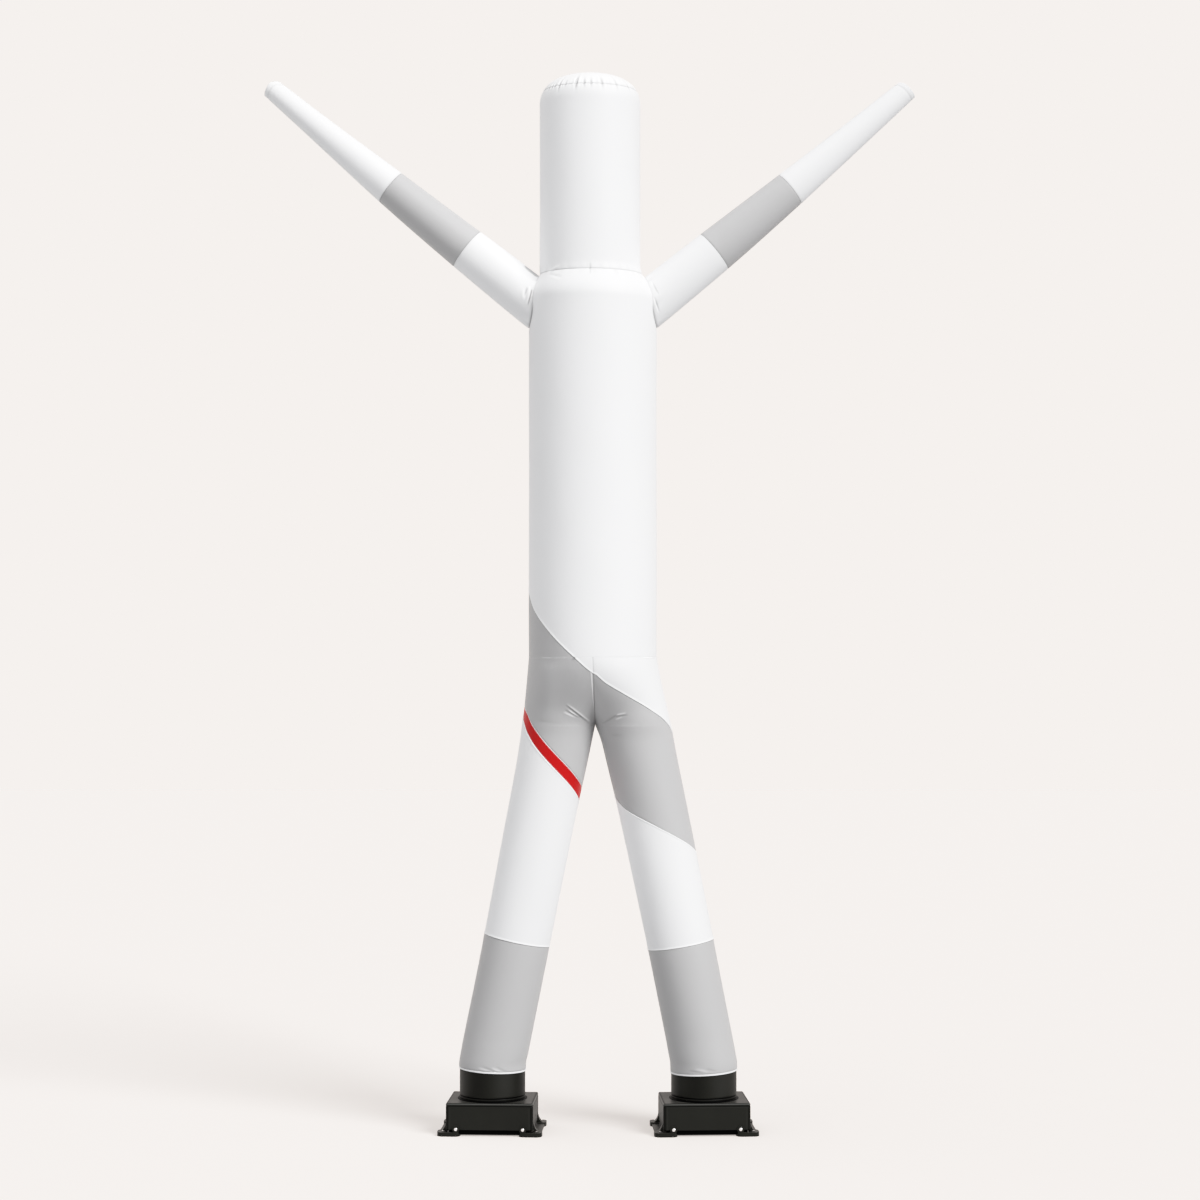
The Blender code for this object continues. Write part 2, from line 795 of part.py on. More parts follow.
def build_screw(name, look, parent, place):
    """A low domed screw head. place turns (across, across, out) into a point."""
    mesh = bmesh.new()
    rings = []
    for share, height in SCREW_PROFILE:
        ring = []
        for i in range(SCREW_SIDES):
            angle = 2 * math.pi * i / SCREW_SIDES
            a, b = (SCREW_RADIUS * share * turn for turn in (math.cos(angle), math.sin(angle)))
            ring.append(mesh.verts.new(place(a, b, SCREW_HEIGHT * height)))
        rings.append(ring)
    mesh.faces.new(rings[0])
    mesh.faces.new(rings[-1])
    for low, high in zip(rings, rings[1:]):
        for i in range(SCREW_SIDES):
            j = (i + 1) % SCREW_SIDES
            mesh.faces.new((low[i], low[j], high[j], high[i]))
    return finish(mesh, name, look, parent)


def build_blower(side, x, yaw, looks):
    """A floor blower: housing, outlet collar, a base along each side, and screws."""
    name = "blower_" + side
    frame = bpy.data.objects.new(name, None)
    bpy.context.scene.collection.objects.link(frame)
    frame.location = (x, 0, 0)
    frame.rotation_euler = (0, 0, yaw)
    half_width, half_depth = HOUSING_WIDTH / 2, HOUSING_DEPTH / 2
    housing = prism(
        name + "_housing",
        looks["black"],
        frame,
        box_outline(-half_width, half_width, -half_depth, half_depth),
        HOUSING_BOTTOM,
        HOUSING_TOP,
        upright,
        smooth=True,
    )
    bevel(housing, HOUSING_EDGE, HOUSING_EDGE_STEPS)
    base = HOUSING_TOP + GAP
    bore = OUTLET_RADIUS - OUTLET_WALL
    turned(
        name + "_outlet",
        looks["black"],
        frame,
        (
            (bore, base),
            (OUTLET_RADIUS + OUTLET_LIP, base),
            (OUTLET_RADIUS + OUTLET_LIP, base + OUTLET_LIP_HEIGHT / 2),
            (OUTLET_RADIUS, base + OUTLET_LIP_HEIGHT),
            (OUTLET_RADIUS, OUTLET_SHOULDER),
            (OUTLET_TOP_RADIUS, OUTLET_TOP),
            (OUTLET_TOP_RADIUS - OUTLET_WALL, OUTLET_TOP),
            (bore, OUTLET_SHOULDER),
        ),
        OUTLET_SIDES,
    )
    ear_x = half_width + EAR_SCREW_INSET[0]
    ear_y = half_depth - EAR_SCREW_INSET[1]
    tab_face = half_depth + TAB_THICKNESS + GAP
    for part_side, x_side in (("a", -1), ("b", 1)):
        build_base(name + "_base_" + part_side, looks["black"], frame, x_side)
        for end, y_side in (("front", -1), ("back", 1)):
            label = name + "_" + end + "_" + part_side
            build_screw(
                label + "_tab_screw",
                looks["steel"],
                frame,
                lambda a, b, out: (x_side * TAB_X + a, y_side * (tab_face + out), TAB_HEIGHT + b),
            )
            build_screw(
                label + "_ear_screw",
                looks["steel"],
                frame,
                lambda a, b, out: (x_side * ear_x + a, y_side * ear_y + b, FOOT_HEIGHT + GAP + out),
            )


def main():
    for old in list(bpy.data.objects):
        bpy.data.objects.remove(old)
    looks = {
        "white": material("white_cloth", (0.85, 0.85, 0.86), 0.6),
        "grey": material("grey_cloth", (0.56, 0.56, 0.57), 0.6),
        "red": material("red_cloth", (0.62, 0.01, 0.015), 0.55),
        "black": material("black_plastic", (0.012, 0.012, 0.011), 0.4),
        "steel": material("screw_steel", (0.75, 0.75, 0.75), 0.3, 1.0),
    }
    torso = build_column(looks)
    build_legs(looks)
    left_arm = arm(LEFT_ARM_TIP, LEFT_ARM_ROOT, LEFT_ARM_RADII)
    right_arm = arm(RIGHT_ARM_TIP, RIGHT_ARM_ROOT, RIGHT_ARM_RADII)
    build_arm("left", left_arm, LEFT_ARM_BAND, LEFT_TIP_CUT, looks, torso)
    build_arm("right", right_arm, RIGHT_ARM_BAND, RIGHT_TIP_CUT, looks, torso)
    build_blower("left", LEFT_BLOWER_X, -BLOWER_TOE_OUT, looks)
    build_blower("right", RIGHT_BLOWER_X, BLOWER_TOE_OUT, looks)


main()
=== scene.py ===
"""The looks of the inflatable air dancer: sewn cloth tubes over two low floor blowers.

Metres, +Z up, front towards -Y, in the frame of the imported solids. Each cloth solid is replaced by
a thin sheet on the same surface, finely sampled, that dips into its seams, gathers beside them and
carries the figure's creases. Outlets and housings get finer shells over the same sizes, and the
blowers' bases and screws keep their solids. Left is the -X side.
"""
import math
from types import SimpleNamespace

import bmesh
import bpy
import numpy as np
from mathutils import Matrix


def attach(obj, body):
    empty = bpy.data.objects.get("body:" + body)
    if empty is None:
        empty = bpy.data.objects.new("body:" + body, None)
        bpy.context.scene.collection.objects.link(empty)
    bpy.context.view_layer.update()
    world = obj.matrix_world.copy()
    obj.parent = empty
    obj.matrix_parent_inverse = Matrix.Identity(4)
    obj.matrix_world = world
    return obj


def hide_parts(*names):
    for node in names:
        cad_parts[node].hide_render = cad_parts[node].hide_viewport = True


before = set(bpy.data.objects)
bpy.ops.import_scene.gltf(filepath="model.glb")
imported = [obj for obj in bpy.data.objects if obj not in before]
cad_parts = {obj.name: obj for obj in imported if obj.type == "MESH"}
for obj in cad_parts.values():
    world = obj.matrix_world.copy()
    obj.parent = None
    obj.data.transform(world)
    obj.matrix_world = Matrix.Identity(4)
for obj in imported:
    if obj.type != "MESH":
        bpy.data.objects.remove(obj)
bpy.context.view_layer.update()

TURN = 2 * math.pi

# The column of torso and head.
HIP_Z = 2.242
SHOULDER_Z = 3.926
NECK_Z = 4.051
HEAD_Z = 4.085
DOME_Z = 4.85
CAP_SEAM_Z = 4.915
CROWN_Z = 5.0
TORSO_X, TORSO_RADIUS = 0.0137, 0.303
NECK_X, NECK_RADIUS = 0.0059, 0.2434
HEAD_X, HEAD_RADIUS = 0.0005, 0.2385
DOME_POWER = 2.4
BODY_COLUMNS = 384

# The legs, and the seam between them, as deep as the torso at the hips and closed at the crotch.
SEAM_TOP_X = 0.0137
CROTCH_X, CROTCH_Z = 0.0256, 1.919
SEAM_POWER = 0.9
# How the cloth swells in front and behind, where the hips pass into the legs.
HIP_SWELL_Z, HIP_SWELL_WIDTH, HIP_SWELL_SHARE = 1.945, 0.05, 0.045
# height, the left leg's x, the right leg's x
LEFT, RIGHT = 1, 2
LEG_OUTER = (
    (2.242, -0.2893, 0.3167), (2.132, -0.2986, 0.3372), (1.991, -0.3122, 0.369),
    (1.919, -0.3223, 0.385), (1.754, -0.3465, 0.4171), (1.47, -0.3982, 0.4735),
    (0.901, -0.5067, 0.5873), (0.427, -0.601, 0.6786), (0.368, -0.6118, 0.6895),
    (0.325, -0.6191, 0.6975), (0.28, -0.62, 0.6988),
)
LEG_INNER = (
    (1.919, 0.0256, 0.0256), (1.849, 0.0109, 0.0521), (1.754, -0.009, 0.0763),
    (1.47, -0.0705, 0.144), (0.901, -0.1844, 0.2655), (0.427, -0.279, 0.3602),
    (0.368, -0.2913, 0.371), (0.325, -0.3011, 0.3795), (0.28, -0.3024, 0.3812),
)
ANKLE_Z = 0.345
# A leaning tube is a little less deep than wide, from below the crotch to above the ankle.
LEG_DEPTH_SHARE = 0.981
LEAN_START, LEAN_END = 0.25, 0.1
# How the columns crowd beside the seam between the legs, where the tube isn't whole.
MOST_CROWDING, CROWDING_REACH, LEAST_START = 6, 0.8, 0.001

# Where panels of different colour meet. Share 0 is the -X side of the torso and the seam or inner
# side of a leg, share 1 the far side.
# share, height
TORSO_SASH_EDGE = (
    (0, 2.566), (0.055, 2.541), (0.14, 2.466), (0.25, 2.375), (0.34, 2.299), (0.4095, 2.242),
    (0.5, 2.172), (1, 1.8),
)
LEFT_SASH_TOP = (
    (0, 2.167), (0.1, 2.183), (0.2, 2.206), (0.3221, 2.242), (0.45, 2.285), (1, 2.566),
)
LEFT_SASH_END = (
    (0, 1.62), (0.06, 1.632), (0.2, 1.672), (0.36, 1.736), (0.52, 1.809), (0.73, 1.9146),
    (0.85, 1.974), (0.95, 2.002), (1, 2.01),
)
LEFT_STRIPE_END = (
    (0, 1.552), (0.07, 1.569), (0.2, 1.6105), (0.36, 1.6735), (0.53, 1.75), (0.7, 1.8328),
    (0.8, 1.8845), (0.9, 1.934), (1, 1.955),
)
RIGHT_SASH_EDGE = (
    (0, 2.167), (0.25, 2.1205), (0.45, 2.0758), (0.62, 2.024), (0.76, 1.9695), (0.9, 1.9145),
    (1, 1.88),
)
RIGHT_SASH_END = (
    (0, 1.586), (0.07, 1.572), (0.22, 1.526), (0.45, 1.464), (0.82, 1.356), (1, 1.318),
)
HEM_SHOWN, HEM_ROWS = 0.007, 8

# The arms: tapered tubes that sag a little. Distances along an arm are from its open tip.
ARM_SAG, ARM_SAG_SPAN = 0.0095, 1.75
# distance from the tip, radius
LEFT_ARM_RADII = (
    (0, 0.047), (0.25, 0.0582), (0.76, 0.0865), (1.16, 0.102), (1.61, 0.1135), (1.86, 0.115),
)
RIGHT_ARM_RADII = (
    (0, 0.051), (0.25, 0.0626), (0.76, 0.0877), (1.16, 0.1038), (1.55, 0.1115), (1.86, 0.115),
)
# The stretch in which an arm meets the body, and how often the search halves it.
ARM_REACH = (1.35, 1.8)
HALVINGS = 40

# The blowers, in a blower's own frame, centred on its outlet.
TOE_OUT = math.radians(3.0)
HOUSING_WIDTH, HOUSING_DEPTH = 0.41, 0.34
OUTLET_SIDES = 160

# The slow waves of the cloth, which fade towards its seams over this width.
CALM_WIDTH = 0.06
WAVE_HEIGHT = 0.0011
# share, waves round the tube, turn with height in radians a metre, phase
SLOW_WAVES = ((0.5, 2, 5.1, 0.7), (0.3, 3, -7.7, 2.0), (0.2, 5, 11.3, 0.0))

# How finely the cloth is sampled: the first step beside a seam, the widest step, and its growth.
FINE, COARSE, GROWTH = 0.0016, 0.0085, 1.22
# What is turned inside at a sewn edge and at an open one.
SEAM_ALLOWANCE, HEM_TURN = 0.006, 0.022
CLOTH = 0.0012
YARN_PITCH = 0.0011
STITCH_INSET, STITCH_WIDTH, STITCH_PITCH = 0.0042, 0.0008, 0.0045

# Creases as seen from the front: lines that bow sideways, with a height below zero for troughs.
# x, z, x, z, height, width, bow
CROTCH_CREASES = (
    (-0.1092, 2.0265, 0.0038, 1.9379, 0.0018, 0.0038, 0),
    (-0.1136, 2.0168, -0.0028, 1.9282, -0.0034, 0.0042, 0.002),
    (-0.1024, 1.9986, -0.05, 1.9622, 0.0022, 0.0044, 0),
    (-0.1162, 1.9949, -0.0453, 1.9549, -0.0022, 0.004, 0),
    (-0.1252, 1.9864, -0.0655, 1.9597, 0.0015, 0.0044, 0),
    (0.0553, 1.9294, 0.1294, 1.9791, -0.0019, 0.0044, -0.004),
    (0.1132, 1.9707, 0.1695, 1.9816, 0.0013, 0.004, 0),
    (0.1089, 1.961, 0.1789, 1.9719, -0.002, 0.004, 0),
    (0.1178, 1.95, 0.1532, 1.9634, 0.0012, 0.004, 0),
    (0.0997, 1.8772, 0.1512, 1.8736, -0.0006, 0.008, 0),
)
HIP_CREASES = (
    (-0.2271, 2.2385, -0.1758, 2.2385, 0.0007, 0.003, 0),
    (0.238, 2.2385, 0.3, 2.2385, 0.0016, 0.0032, 0),
)
ROOT_CREASES = (
    (-0.2493, 4.0131, -0.2909, 3.8872, 0.0062, 0.0055, 0.003),
    (-0.2719, 3.9711, -0.2922, 3.8904, -0.007, 0.0048, 0.001),
    (-0.2829, 3.9861, -0.2993, 3.8991, 0.0052, 0.0052, 0.002),
    (-0.2938, 3.9805, -0.3104, 3.9364, -0.0034, 0.006, 0.001),
    (-0.3117, 3.9712, -0.316, 3.9199, 0.0026, 0.007, 0),
    (-0.3061, 4.0973, -0.2404, 4.04, -0.008, 0.01, 0),
    (0.2832, 4.0138, 0.3326, 3.9384, 0.0036, 0.005, 0),
    (0.2912, 4.0072, 0.3274, 3.9432, -0.006, 0.0044, -0.001),
    (0.2997, 3.9311, 0.3209, 3.8615, 0.005, 0.005, 0),
    (0.3017, 3.9349, 0.3264, 3.8642, -0.0052, 0.0044, 0),
)
NECK_CREASES = (
    (-0.2019, 4.0478, -0.1382, 4.0689, 0.0022, 0.0045, 0),
    (-0.1952, 4.0268, -0.1355, 3.997, 0.002, 0.0045, 0),
    (-0.1908, 4.0342, -0.1285, 4.0119, -0.0018, 0.0045, 0),
    (0.0018, 4.08, 0.0016, 4.018, -0.0022, 0.0038, 0),
)
HEM_CREASES = (
    (-0.525, 0.318, -0.445, 0.293, 0.0008, 0.0044, 0.002),
    (-0.505, 0.324, -0.43, 0.294, -0.0014, 0.0042, 0.002),
    (-0.46, 0.32, -0.4, 0.296, 0.0009, 0.0044, -0.002),
    (-0.44, 0.326, -0.385, 0.298, -0.0014, 0.0042, -0.002),
    (0.46, 0.304, 0.53, 0.294, -0.0013, 0.0042, 0),
    (0.49, 0.312, 0.56, 0.298, 0.0007, 0.0044, 0.002),
    (0.54, 0.314, 0.6, 0.301, -0.0012, 0.0042, 0),
)
# Where air pressure swells the cloth most.
SWELLS = ((-0.19, 2.23, -0.215, 1.94, 0.01, 0.05, 0),)
# The cap's gathers in front, which are the same behind.
# share of a turn from the -X side, depth, width, reach
CAP_PLEATS = (
    (0.09, 0.003, 0.005, 0.024), (0.106, 0.0034, 0.0048, 0.026), (0.119, 0.003, 0.0048, 0.024),
    (0.141, 0.006, 0.0052, 0.036), (0.165, 0.0034, 0.0048, 0.022), (0.204, 0.0074, 0.006, 0.042),
    (0.231, 0.005, 0.0052, 0.03), (0.254, 0.0034, 0.0052, 0.03), (0.292, 0.0042, 0.006, 0.036),
    (0.345, 0.003, 0.0065, 0.04), (0.398, 0.0026, 0.006, 0.032), (0.44, 0.0028, 0.0055, 0.028),
)


def curve_through(rows, at, flat=False):
    """Values on a smooth curve through rows of (distance, value); flat leaves its ends level."""
    x, y = np.array(sorted(rows), float).T
    at = np.clip(at, x[0], x[-1])
    low = np.clip(np.searchsorted(x, at, side="right") - 1, 0, len(x) - 2)
    slopes = np.empty(len(x))
    slopes[1:-1] = (y[2:] - y[:-2]) / (x[2:] - x[:-2])
    slopes[0] = 0 if flat else (y[1] - y[0]) / (x[1] - x[0])
    slopes[-1] = 0 if flat else (y[-1] - y[-2]) / (x[-1] - x[-2])
    width = x[low + 1] - x[low]
    s = (at - x[low]) / width
    return (
        (1 + 2 * s) * (1 - s) ** 2 * y[low]
        + s * (1 - s) ** 2 * width * slopes[low]
        + s * s * (3 - 2 * s) * y[low + 1]
        - s * s * (1 - s) * width * slopes[low + 1]
    )


def norm(vectors):
    return np.linalg.norm(vectors, axis=-1)


def bell(distance, width):
    return np.exp(-((distance / width) ** 2))


def across(u):
    """The share of the way from the seam side (0) to the far side (1), the same front and back."""
    return 1 - np.abs(2 * (u % 1) - 1)


def body_x(z):
    """The x of the column's middle."""
    return np.interp(z, (SHOULDER_Z, NECK_Z, HEAD_Z), (TORSO_X, NECK_X, HEAD_X))


def body_radius(z):
    """The column's radius: torso, rounded shoulder, neck seam, head and the start of its dome."""
    turn = math.pi / 2 * np.clip((NECK_Z - z) / (NECK_Z - SHOULDER_Z), 0, 1)
    shoulder = NECK_RADIUS + (TORSO_RADIUS - NECK_RADIUS) * np.sin(turn)
    narrowed = np.clip((HEAD_Z - z) / (HEAD_Z - NECK_Z), 0, 1)
    neck = HEAD_RADIUS + (NECK_RADIUS - HEAD_RADIUS) * narrowed
    rise = np.clip((z - DOME_Z) / (CROWN_Z - DOME_Z), 0, 1)
    dome = HEAD_RADIUS * (1 - rise**DOME_POWER) ** (1 / DOME_POWER)
    below = z <= SHOULDER_Z, z <= NECK_Z, z <= DOME_Z
    return np.select(below, (TORSO_RADIUS, shoulder, neck), dome)


def dome_height(radius):
    """The height of the head's dome at a distance from its middle."""
    share = np.minimum(1.0, radius / HEAD_RADIUS)
    return DOME_Z + (CROWN_Z - DOME_Z) * (1 - share**DOME_POWER) ** (1 / DOME_POWER)


def around_column(u, radius, x, z):
    angle = TURN * u
    return np.stack((x - radius * np.cos(angle), -radius * np.sin(angle), z), axis=-1)


def body(u, z):
    """The torso and head: u runs from the -X side over the front and back round."""
    return around_column(u, body_radius(z), body_x(z), z)


def crown(u, radius):
    """The round cap, by its distance from the middle."""
    return around_column(u, radius, HEAD_X + 0 * radius, dome_height(radius))


def leg(side, inward):
    """A leg's surface: u runs from the centre seam over the front and outer side to the back."""
    outer_side = [(row[0], row[side]) for row in LEG_OUTER]
    inner_side = [(row[0], row[side]) for row in LEG_INNER]

    def surface(u, z):
        outer = curve_through(outer_side, z)
        drop = np.clip((HIP_Z - z) / (HIP_Z - CROTCH_Z), 0, 1)
        above = z > CROTCH_Z
        seam_x = SEAM_TOP_X + (CROTCH_X - SEAM_TOP_X) * drop
        inner = np.where(above, seam_x, curve_through(inner_side, z))
        seam_depth = np.where(above, TORSO_RADIUS * (1 - drop * drop) ** SEAM_POWER, 0)
        wide = np.abs(inner - outer)
        round_radius = np.where(above, (wide**2 + seam_depth**2) / (2 * wide), wide / 2)
        start = np.where(above, np.arctan2(seam_depth, wide - round_radius), 0)
        leaning = np.minimum((CROTCH_Z - z) / LEAN_START, (z - ANKLE_Z) / LEAN_END)
        depth_radius = round_radius * (1 + (LEG_DEPTH_SHARE - 1) * np.clip(leaning, 0, 1))
        crowd = np.minimum(MOST_CROWDING, CROWDING_REACH * math.pi / np.maximum(start, LEAST_START))
        shift = start * (1 - across(u)) ** crowd
        angle = TURN * u + np.where(u < 0.5, shift, -shift)
        x = outer + inward * round_radius * (1 + np.cos(angle))
        swell = 1 + HIP_SWELL_SHARE * bell(z - HIP_SWELL_Z, HIP_SWELL_WIDTH)
        return np.stack((x, -depth_radius * swell * np.sin(angle), z), axis=-1)

    return surface


def arm(tip, root, radii):
    """An arm's surface: u runs round it from its upper side, the distance is from its tip."""
    start, end = np.array((tip[0], 0, tip[1])), np.array((root[0], 0, root[1]))
    along = (end - start) / norm(end - start)
    upward = np.array((-along[2], 0, along[0]))
    upward *= np.sign(upward[2])

    def middle(distance):
        sag = ARM_SAG * np.sin(math.pi * distance / ARM_SAG_SPAN)
        return start + along * distance[..., None] - upward * sag[..., None]

    def surface(u, distance):
        angle = TURN * u[..., None]
        outwards = upward * np.cos(angle) - np.array((0, 1, 0)) * np.sin(angle)
        return middle(distance) + curve_through(radii, distance)[..., None] * outwards

    def clearance(point):
        """How far a point lies outside the arm's tube, which ends inside the body."""
        distance = (point - start) @ along
        outside = norm(point - middle(distance)) - curve_through(radii, distance)
        return np.where(distance < ARM_REACH[1], outside, 1.0)

    return surface, clearance


def meets_body(surface, u):
    """The distance along an arm at which it meets the torso or head."""
    near, far = (np.full_like(u, end) for end in ARM_REACH)
    for _ in range(HALVINGS):
        middle = (near + far) / 2
        x, y, z = np.moveaxis(surface(u, middle), -1, 0)
        clear = np.hypot(x - body_x(z), y) > body_radius(z)
        near, far = np.where(clear, middle, near), np.where(clear, far, middle)
    return near


def level(z):
    """A guide at one height."""
    return lambda u: z + 0 * u


def cut(rows):
    """A guide along a cut that is given by the share across."""
    return lambda u: curve_through(rows, across(u), flat=True)


def slanted(middle, tilt):
    """A guide along a flat cut, higher by the tilt on the outer side and lower on the inner."""
    return lambda u: middle - tilt * np.cos(math.pi * across(u))


def spaced(length, low_fine=True, high_fine=True, coarse=COARSE):
    """Shares of a length for rows that lie closer together towards its sewn ends."""

    def steps(fine):
        places, step = [0.0], FINE if fine else coarse
        while places[-1] + step < length / 2:
            places.append(places[-1] + step)
            step = min(coarse, step * GROWTH)
        return np.array(places)

    return np.concatenate((steps(low_fine), length - steps(high_fine)[::-1])) / length


# Three waves make a ripple: their shares, and their counts and phases against the first.
RIPPLE = ((0.5, 1, 1, 0), (0.3, 0.61, 2.3, 1), (0.2, 1.47, 4.1, 2))
# Gathers reach their full height this far from their seam.
GATHER_START = 0.004


def ripple(u, count, phase):
    """An uneven wave round a tube, with about count crests, between -1 and 1."""
    turn = TURN * u
    return sum(
        share * np.sin(round(count * times) * turn + turned * phase + later)
        for share, times, turned, later in RIPPLE
    )


def dip(distance, depth, width):
    """The trough along a seam that draws the cloth in."""
    return -depth * bell(distance, width)


def gathers(at, distance, height, reach, count, phase):
    """Small folds that begin beside a seam and fade away from it."""
    grown = 1 - bell(distance, GATHER_START)
    return height * ripple(at.u, count, phase) * grown * bell(distance, reach)


def eased(share):
    """A share from 0 to 1 that starts and ends slowly."""
    share = np.clip(share, 0, 1)
    return share * share * (3 - 2 * share)


def unevenness(at):
    """The slow waves of cloth that air pressure holds out."""
    turn = TURN * at.u
    waves = sum(
        share * np.sin(count * turn + climb * at.rise + phase)
        for share, count, climb, phase in SLOW_WAVES
    )
    return creased(at, SWELLS) + WAVE_HEIGHT * waves


# How bluntly a crease ends, and how near the figure's side it has faded.
CREASE_ENDS, CREASE_FADE = 0.7, 0.02


def creased(at, rows):
    """The creases of a table, the same in front and behind."""
    x, y, z = np.moveaxis(at.point, -1, 0)
    total = np.zeros(x.shape)
    for x0, z0, x1, z1, height, width, bow in rows:
        dx, dz = x1 - x0, z1 - z0
        length = math.hypot(dx, dz)
        t = np.clip(((x - x0) * dx + (z - z0) * dz) / length**2, 0, 1)
        off = ((z - z0) * dx - (x - x0) * dz) / length - bow * 4 * t * (1 - t)
        total += height * bell(off, width) * np.sin(math.pi * t) ** CREASE_ENDS
    return total * np.clip(np.abs(y) / CREASE_FADE, 0, 1)


def lengths(points, axis):
    """How far along its row or column each point lies."""
    steps = norm(np.diff(points, axis=axis))
    start = np.zeros_like(np.take(steps, [0], axis=axis))
    return np.concatenate((start, np.cumsum(steps, axis=axis)), axis=axis)


def unit(vectors):
    return vectors / np.maximum(norm(vectors)[..., None], TINY)


def normals_of(points, joined):
    """Outward unit normals of a grid of points, and whether its quads face out as they are."""
    row = np.gradient(points, axis=1)
    if joined.any():
        first = points[:, 1] - points[:, -2]
        row[joined, 0] = first[joined] / 2
        row[joined, -1] = first[joined] / 2
    normal = unit(np.cross(row, np.gradient(points, axis=0)))
    middle = points.mean(axis=1, keepdims=True)
    facing = np.sign(((points - middle) * normal).sum())
    return normal * facing, facing > 0


def slant(points, edge, after):
    """The sine of the angle at which the columns meet an edge, for distances square to it."""
    tangent = unit(np.gradient(points[edge], axis=0))
    column = unit(points[after] - points[edge])
    return norm(np.cross(tangent, column))


def turn_in(points, normal, edge, after, profile):
    """Rows beyond an edge, each placed back along the cloth and inwards from it."""
    back = unit(points[after] - points[edge])
    return [points[edge] + back * along - normal[edge] * inwards for along, inwards in profile]


# What lies beyond an edge, as (distance back along the cloth, distance inwards): the allowance of a
# sewn edge, a shorter one where the cloth sits close round an outlet, a turned hem, or nothing.
SEWN_END = ((0.0, SEAM_ALLOWANCE),)
CLOSE_END = ((0.0, SEAM_ALLOWANCE / 3),)
TURNED_END = (
    (-CLOTH / 2, CLOTH / 2), (0.0, CLOTH), (HEM_TURN / 2, 1.6 * CLOTH), (HEM_TURN, 1.6 * CLOTH),
)
NO_END = ()
# Lengths: in the same place, close enough to merge, none, and out of a seam's reach.
SAME_PLACE, MERGED, TINY, FAR = 1e-6, 1e-5, 1e-9, 9.0
# Where a tube's long seam runs: up the column's and the arms' back, and a leg's inner side.
BACK_SEAM, INSEAM = 0.75, 0.0


def from_long_seam(u, round_it, seam_u):
    """How far along its row each point lies from the tube's long seam, which shows at seam_u."""
    nearest = np.full(round_it.shape, FAR)
    for place in (seam_u - 1, seam_u, seam_u + 1):
        if u[0] - TINY <= place <= u[-1] + TINY:
            column = int(np.argmin(np.abs(u - place)))
            nearest = np.minimum(nearest, np.abs(round_it - round_it[:, column, None]))
    return nearest


def stitched(distance, end):
    """A distance from an edge, moved on a turned hem to where its stitches hold the turn."""
    return distance - HEM_TURN + 2 * STITCH_INSET if end is TURNED_END else distance


def sheet(name, fabric, surface, guides, shares, u, relief, low_end=SEWN_END, high_end=SEWN_END):
    """A cloth panel between guides, which stands for the CAD node of its name."""
    v = []
    for low_guide, high_guide, part in zip(guides, guides[1:], shares):
        low, high = low_guide(u), high_guide(u)
        v = v[:-1] + [low + (high - low) * share for share in part]
    v = np.array(v)
    u_grid = np.broadcast_to(u, v.shape)
    points = surface(u_grid, v)
    joined = norm(points[:, 0] - points[:, -1]) < SAME_PLACE
    normal, facing_out = normals_of(points, joined)
    on_leg = surface in (left_leg, right_leg)
    if on_leg:
        sides = slice(None, None, len(u) - 1)
        normal[~joined, sides] = in_seam_plane(points[~joined, sides])
    climb, round_it = lengths(points, 0), lengths(points, 1)
    to_low = climb * slant(points, 0, 1)
    to_high = (climb[-1] - climb) * slant(points, -1, -2) if high_end else np.full(v.shape, FAR)
    to_edge = np.minimum(to_low, to_high)
    to_side = from_long_seam(u, round_it, INSEAM if on_leg else BACK_SEAM)
    rise = points[..., 2]
    at = SimpleNamespace(u=u_grid, point=points, rise=rise, low_z=rise[:1], high_z=rise[-1:])
    at.low, at.high, at.side = to_low, to_high, to_side
    folds = relief(at)
    height = folds + unevenness(at) * eased(to_edge / CALM_WIDTH)
    raised = points + normal * height[..., None]
    below = turn_in(raised, normal, 0, 1, low_end)[::-1]
    above = turn_in(raised, normal, -1, -2, high_end)
    shown = np.array(below + list(raised) + above)

    def with_ends(values):
        return np.pad(values, ((len(below), len(above)), (0, 0)), mode="edge")

    to_low, to_high = stitched(to_low, low_end), stitched(to_high, high_end)
    to_edge = np.minimum(to_low, to_high)
    beside = np.where(to_low <= to_high, round_it[:1], round_it[-1:])
    beside = np.where(to_side < to_edge, climb, beside)
    uv_maps = {
        "cloth": (with_ends(round_it - round_it[:, len(u) // 2, None]), with_ends(climb)),
        "stitches": (with_ends(np.minimum(to_edge, to_side)), with_ends(beside)),
    }
    piece = grid_object("cloth_" + name, shown, facing_out, uv_maps, {"fold": with_ends(folds)})
    stands_for(piece, name, fabric)


def stands_for(piece, node, look):
    """Gives a piece its look, hangs it on the root body and hides the CAD node that it stands for.
    """
    piece.data.materials.append(look)
    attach(piece, "root")
    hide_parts(node)


def in_seam_plane(points):
    """Outward unit normals of the seam between the legs, which stay in its own plane."""
    away = points - (0, 0, HIP_Z)
    away[..., 0] = 0
    return unit(away)


def added(name, data):
    """A new object in the scene."""
    made = bpy.data.objects.new(name, data)
    bpy.context.scene.collection.objects.link(made)
    return made


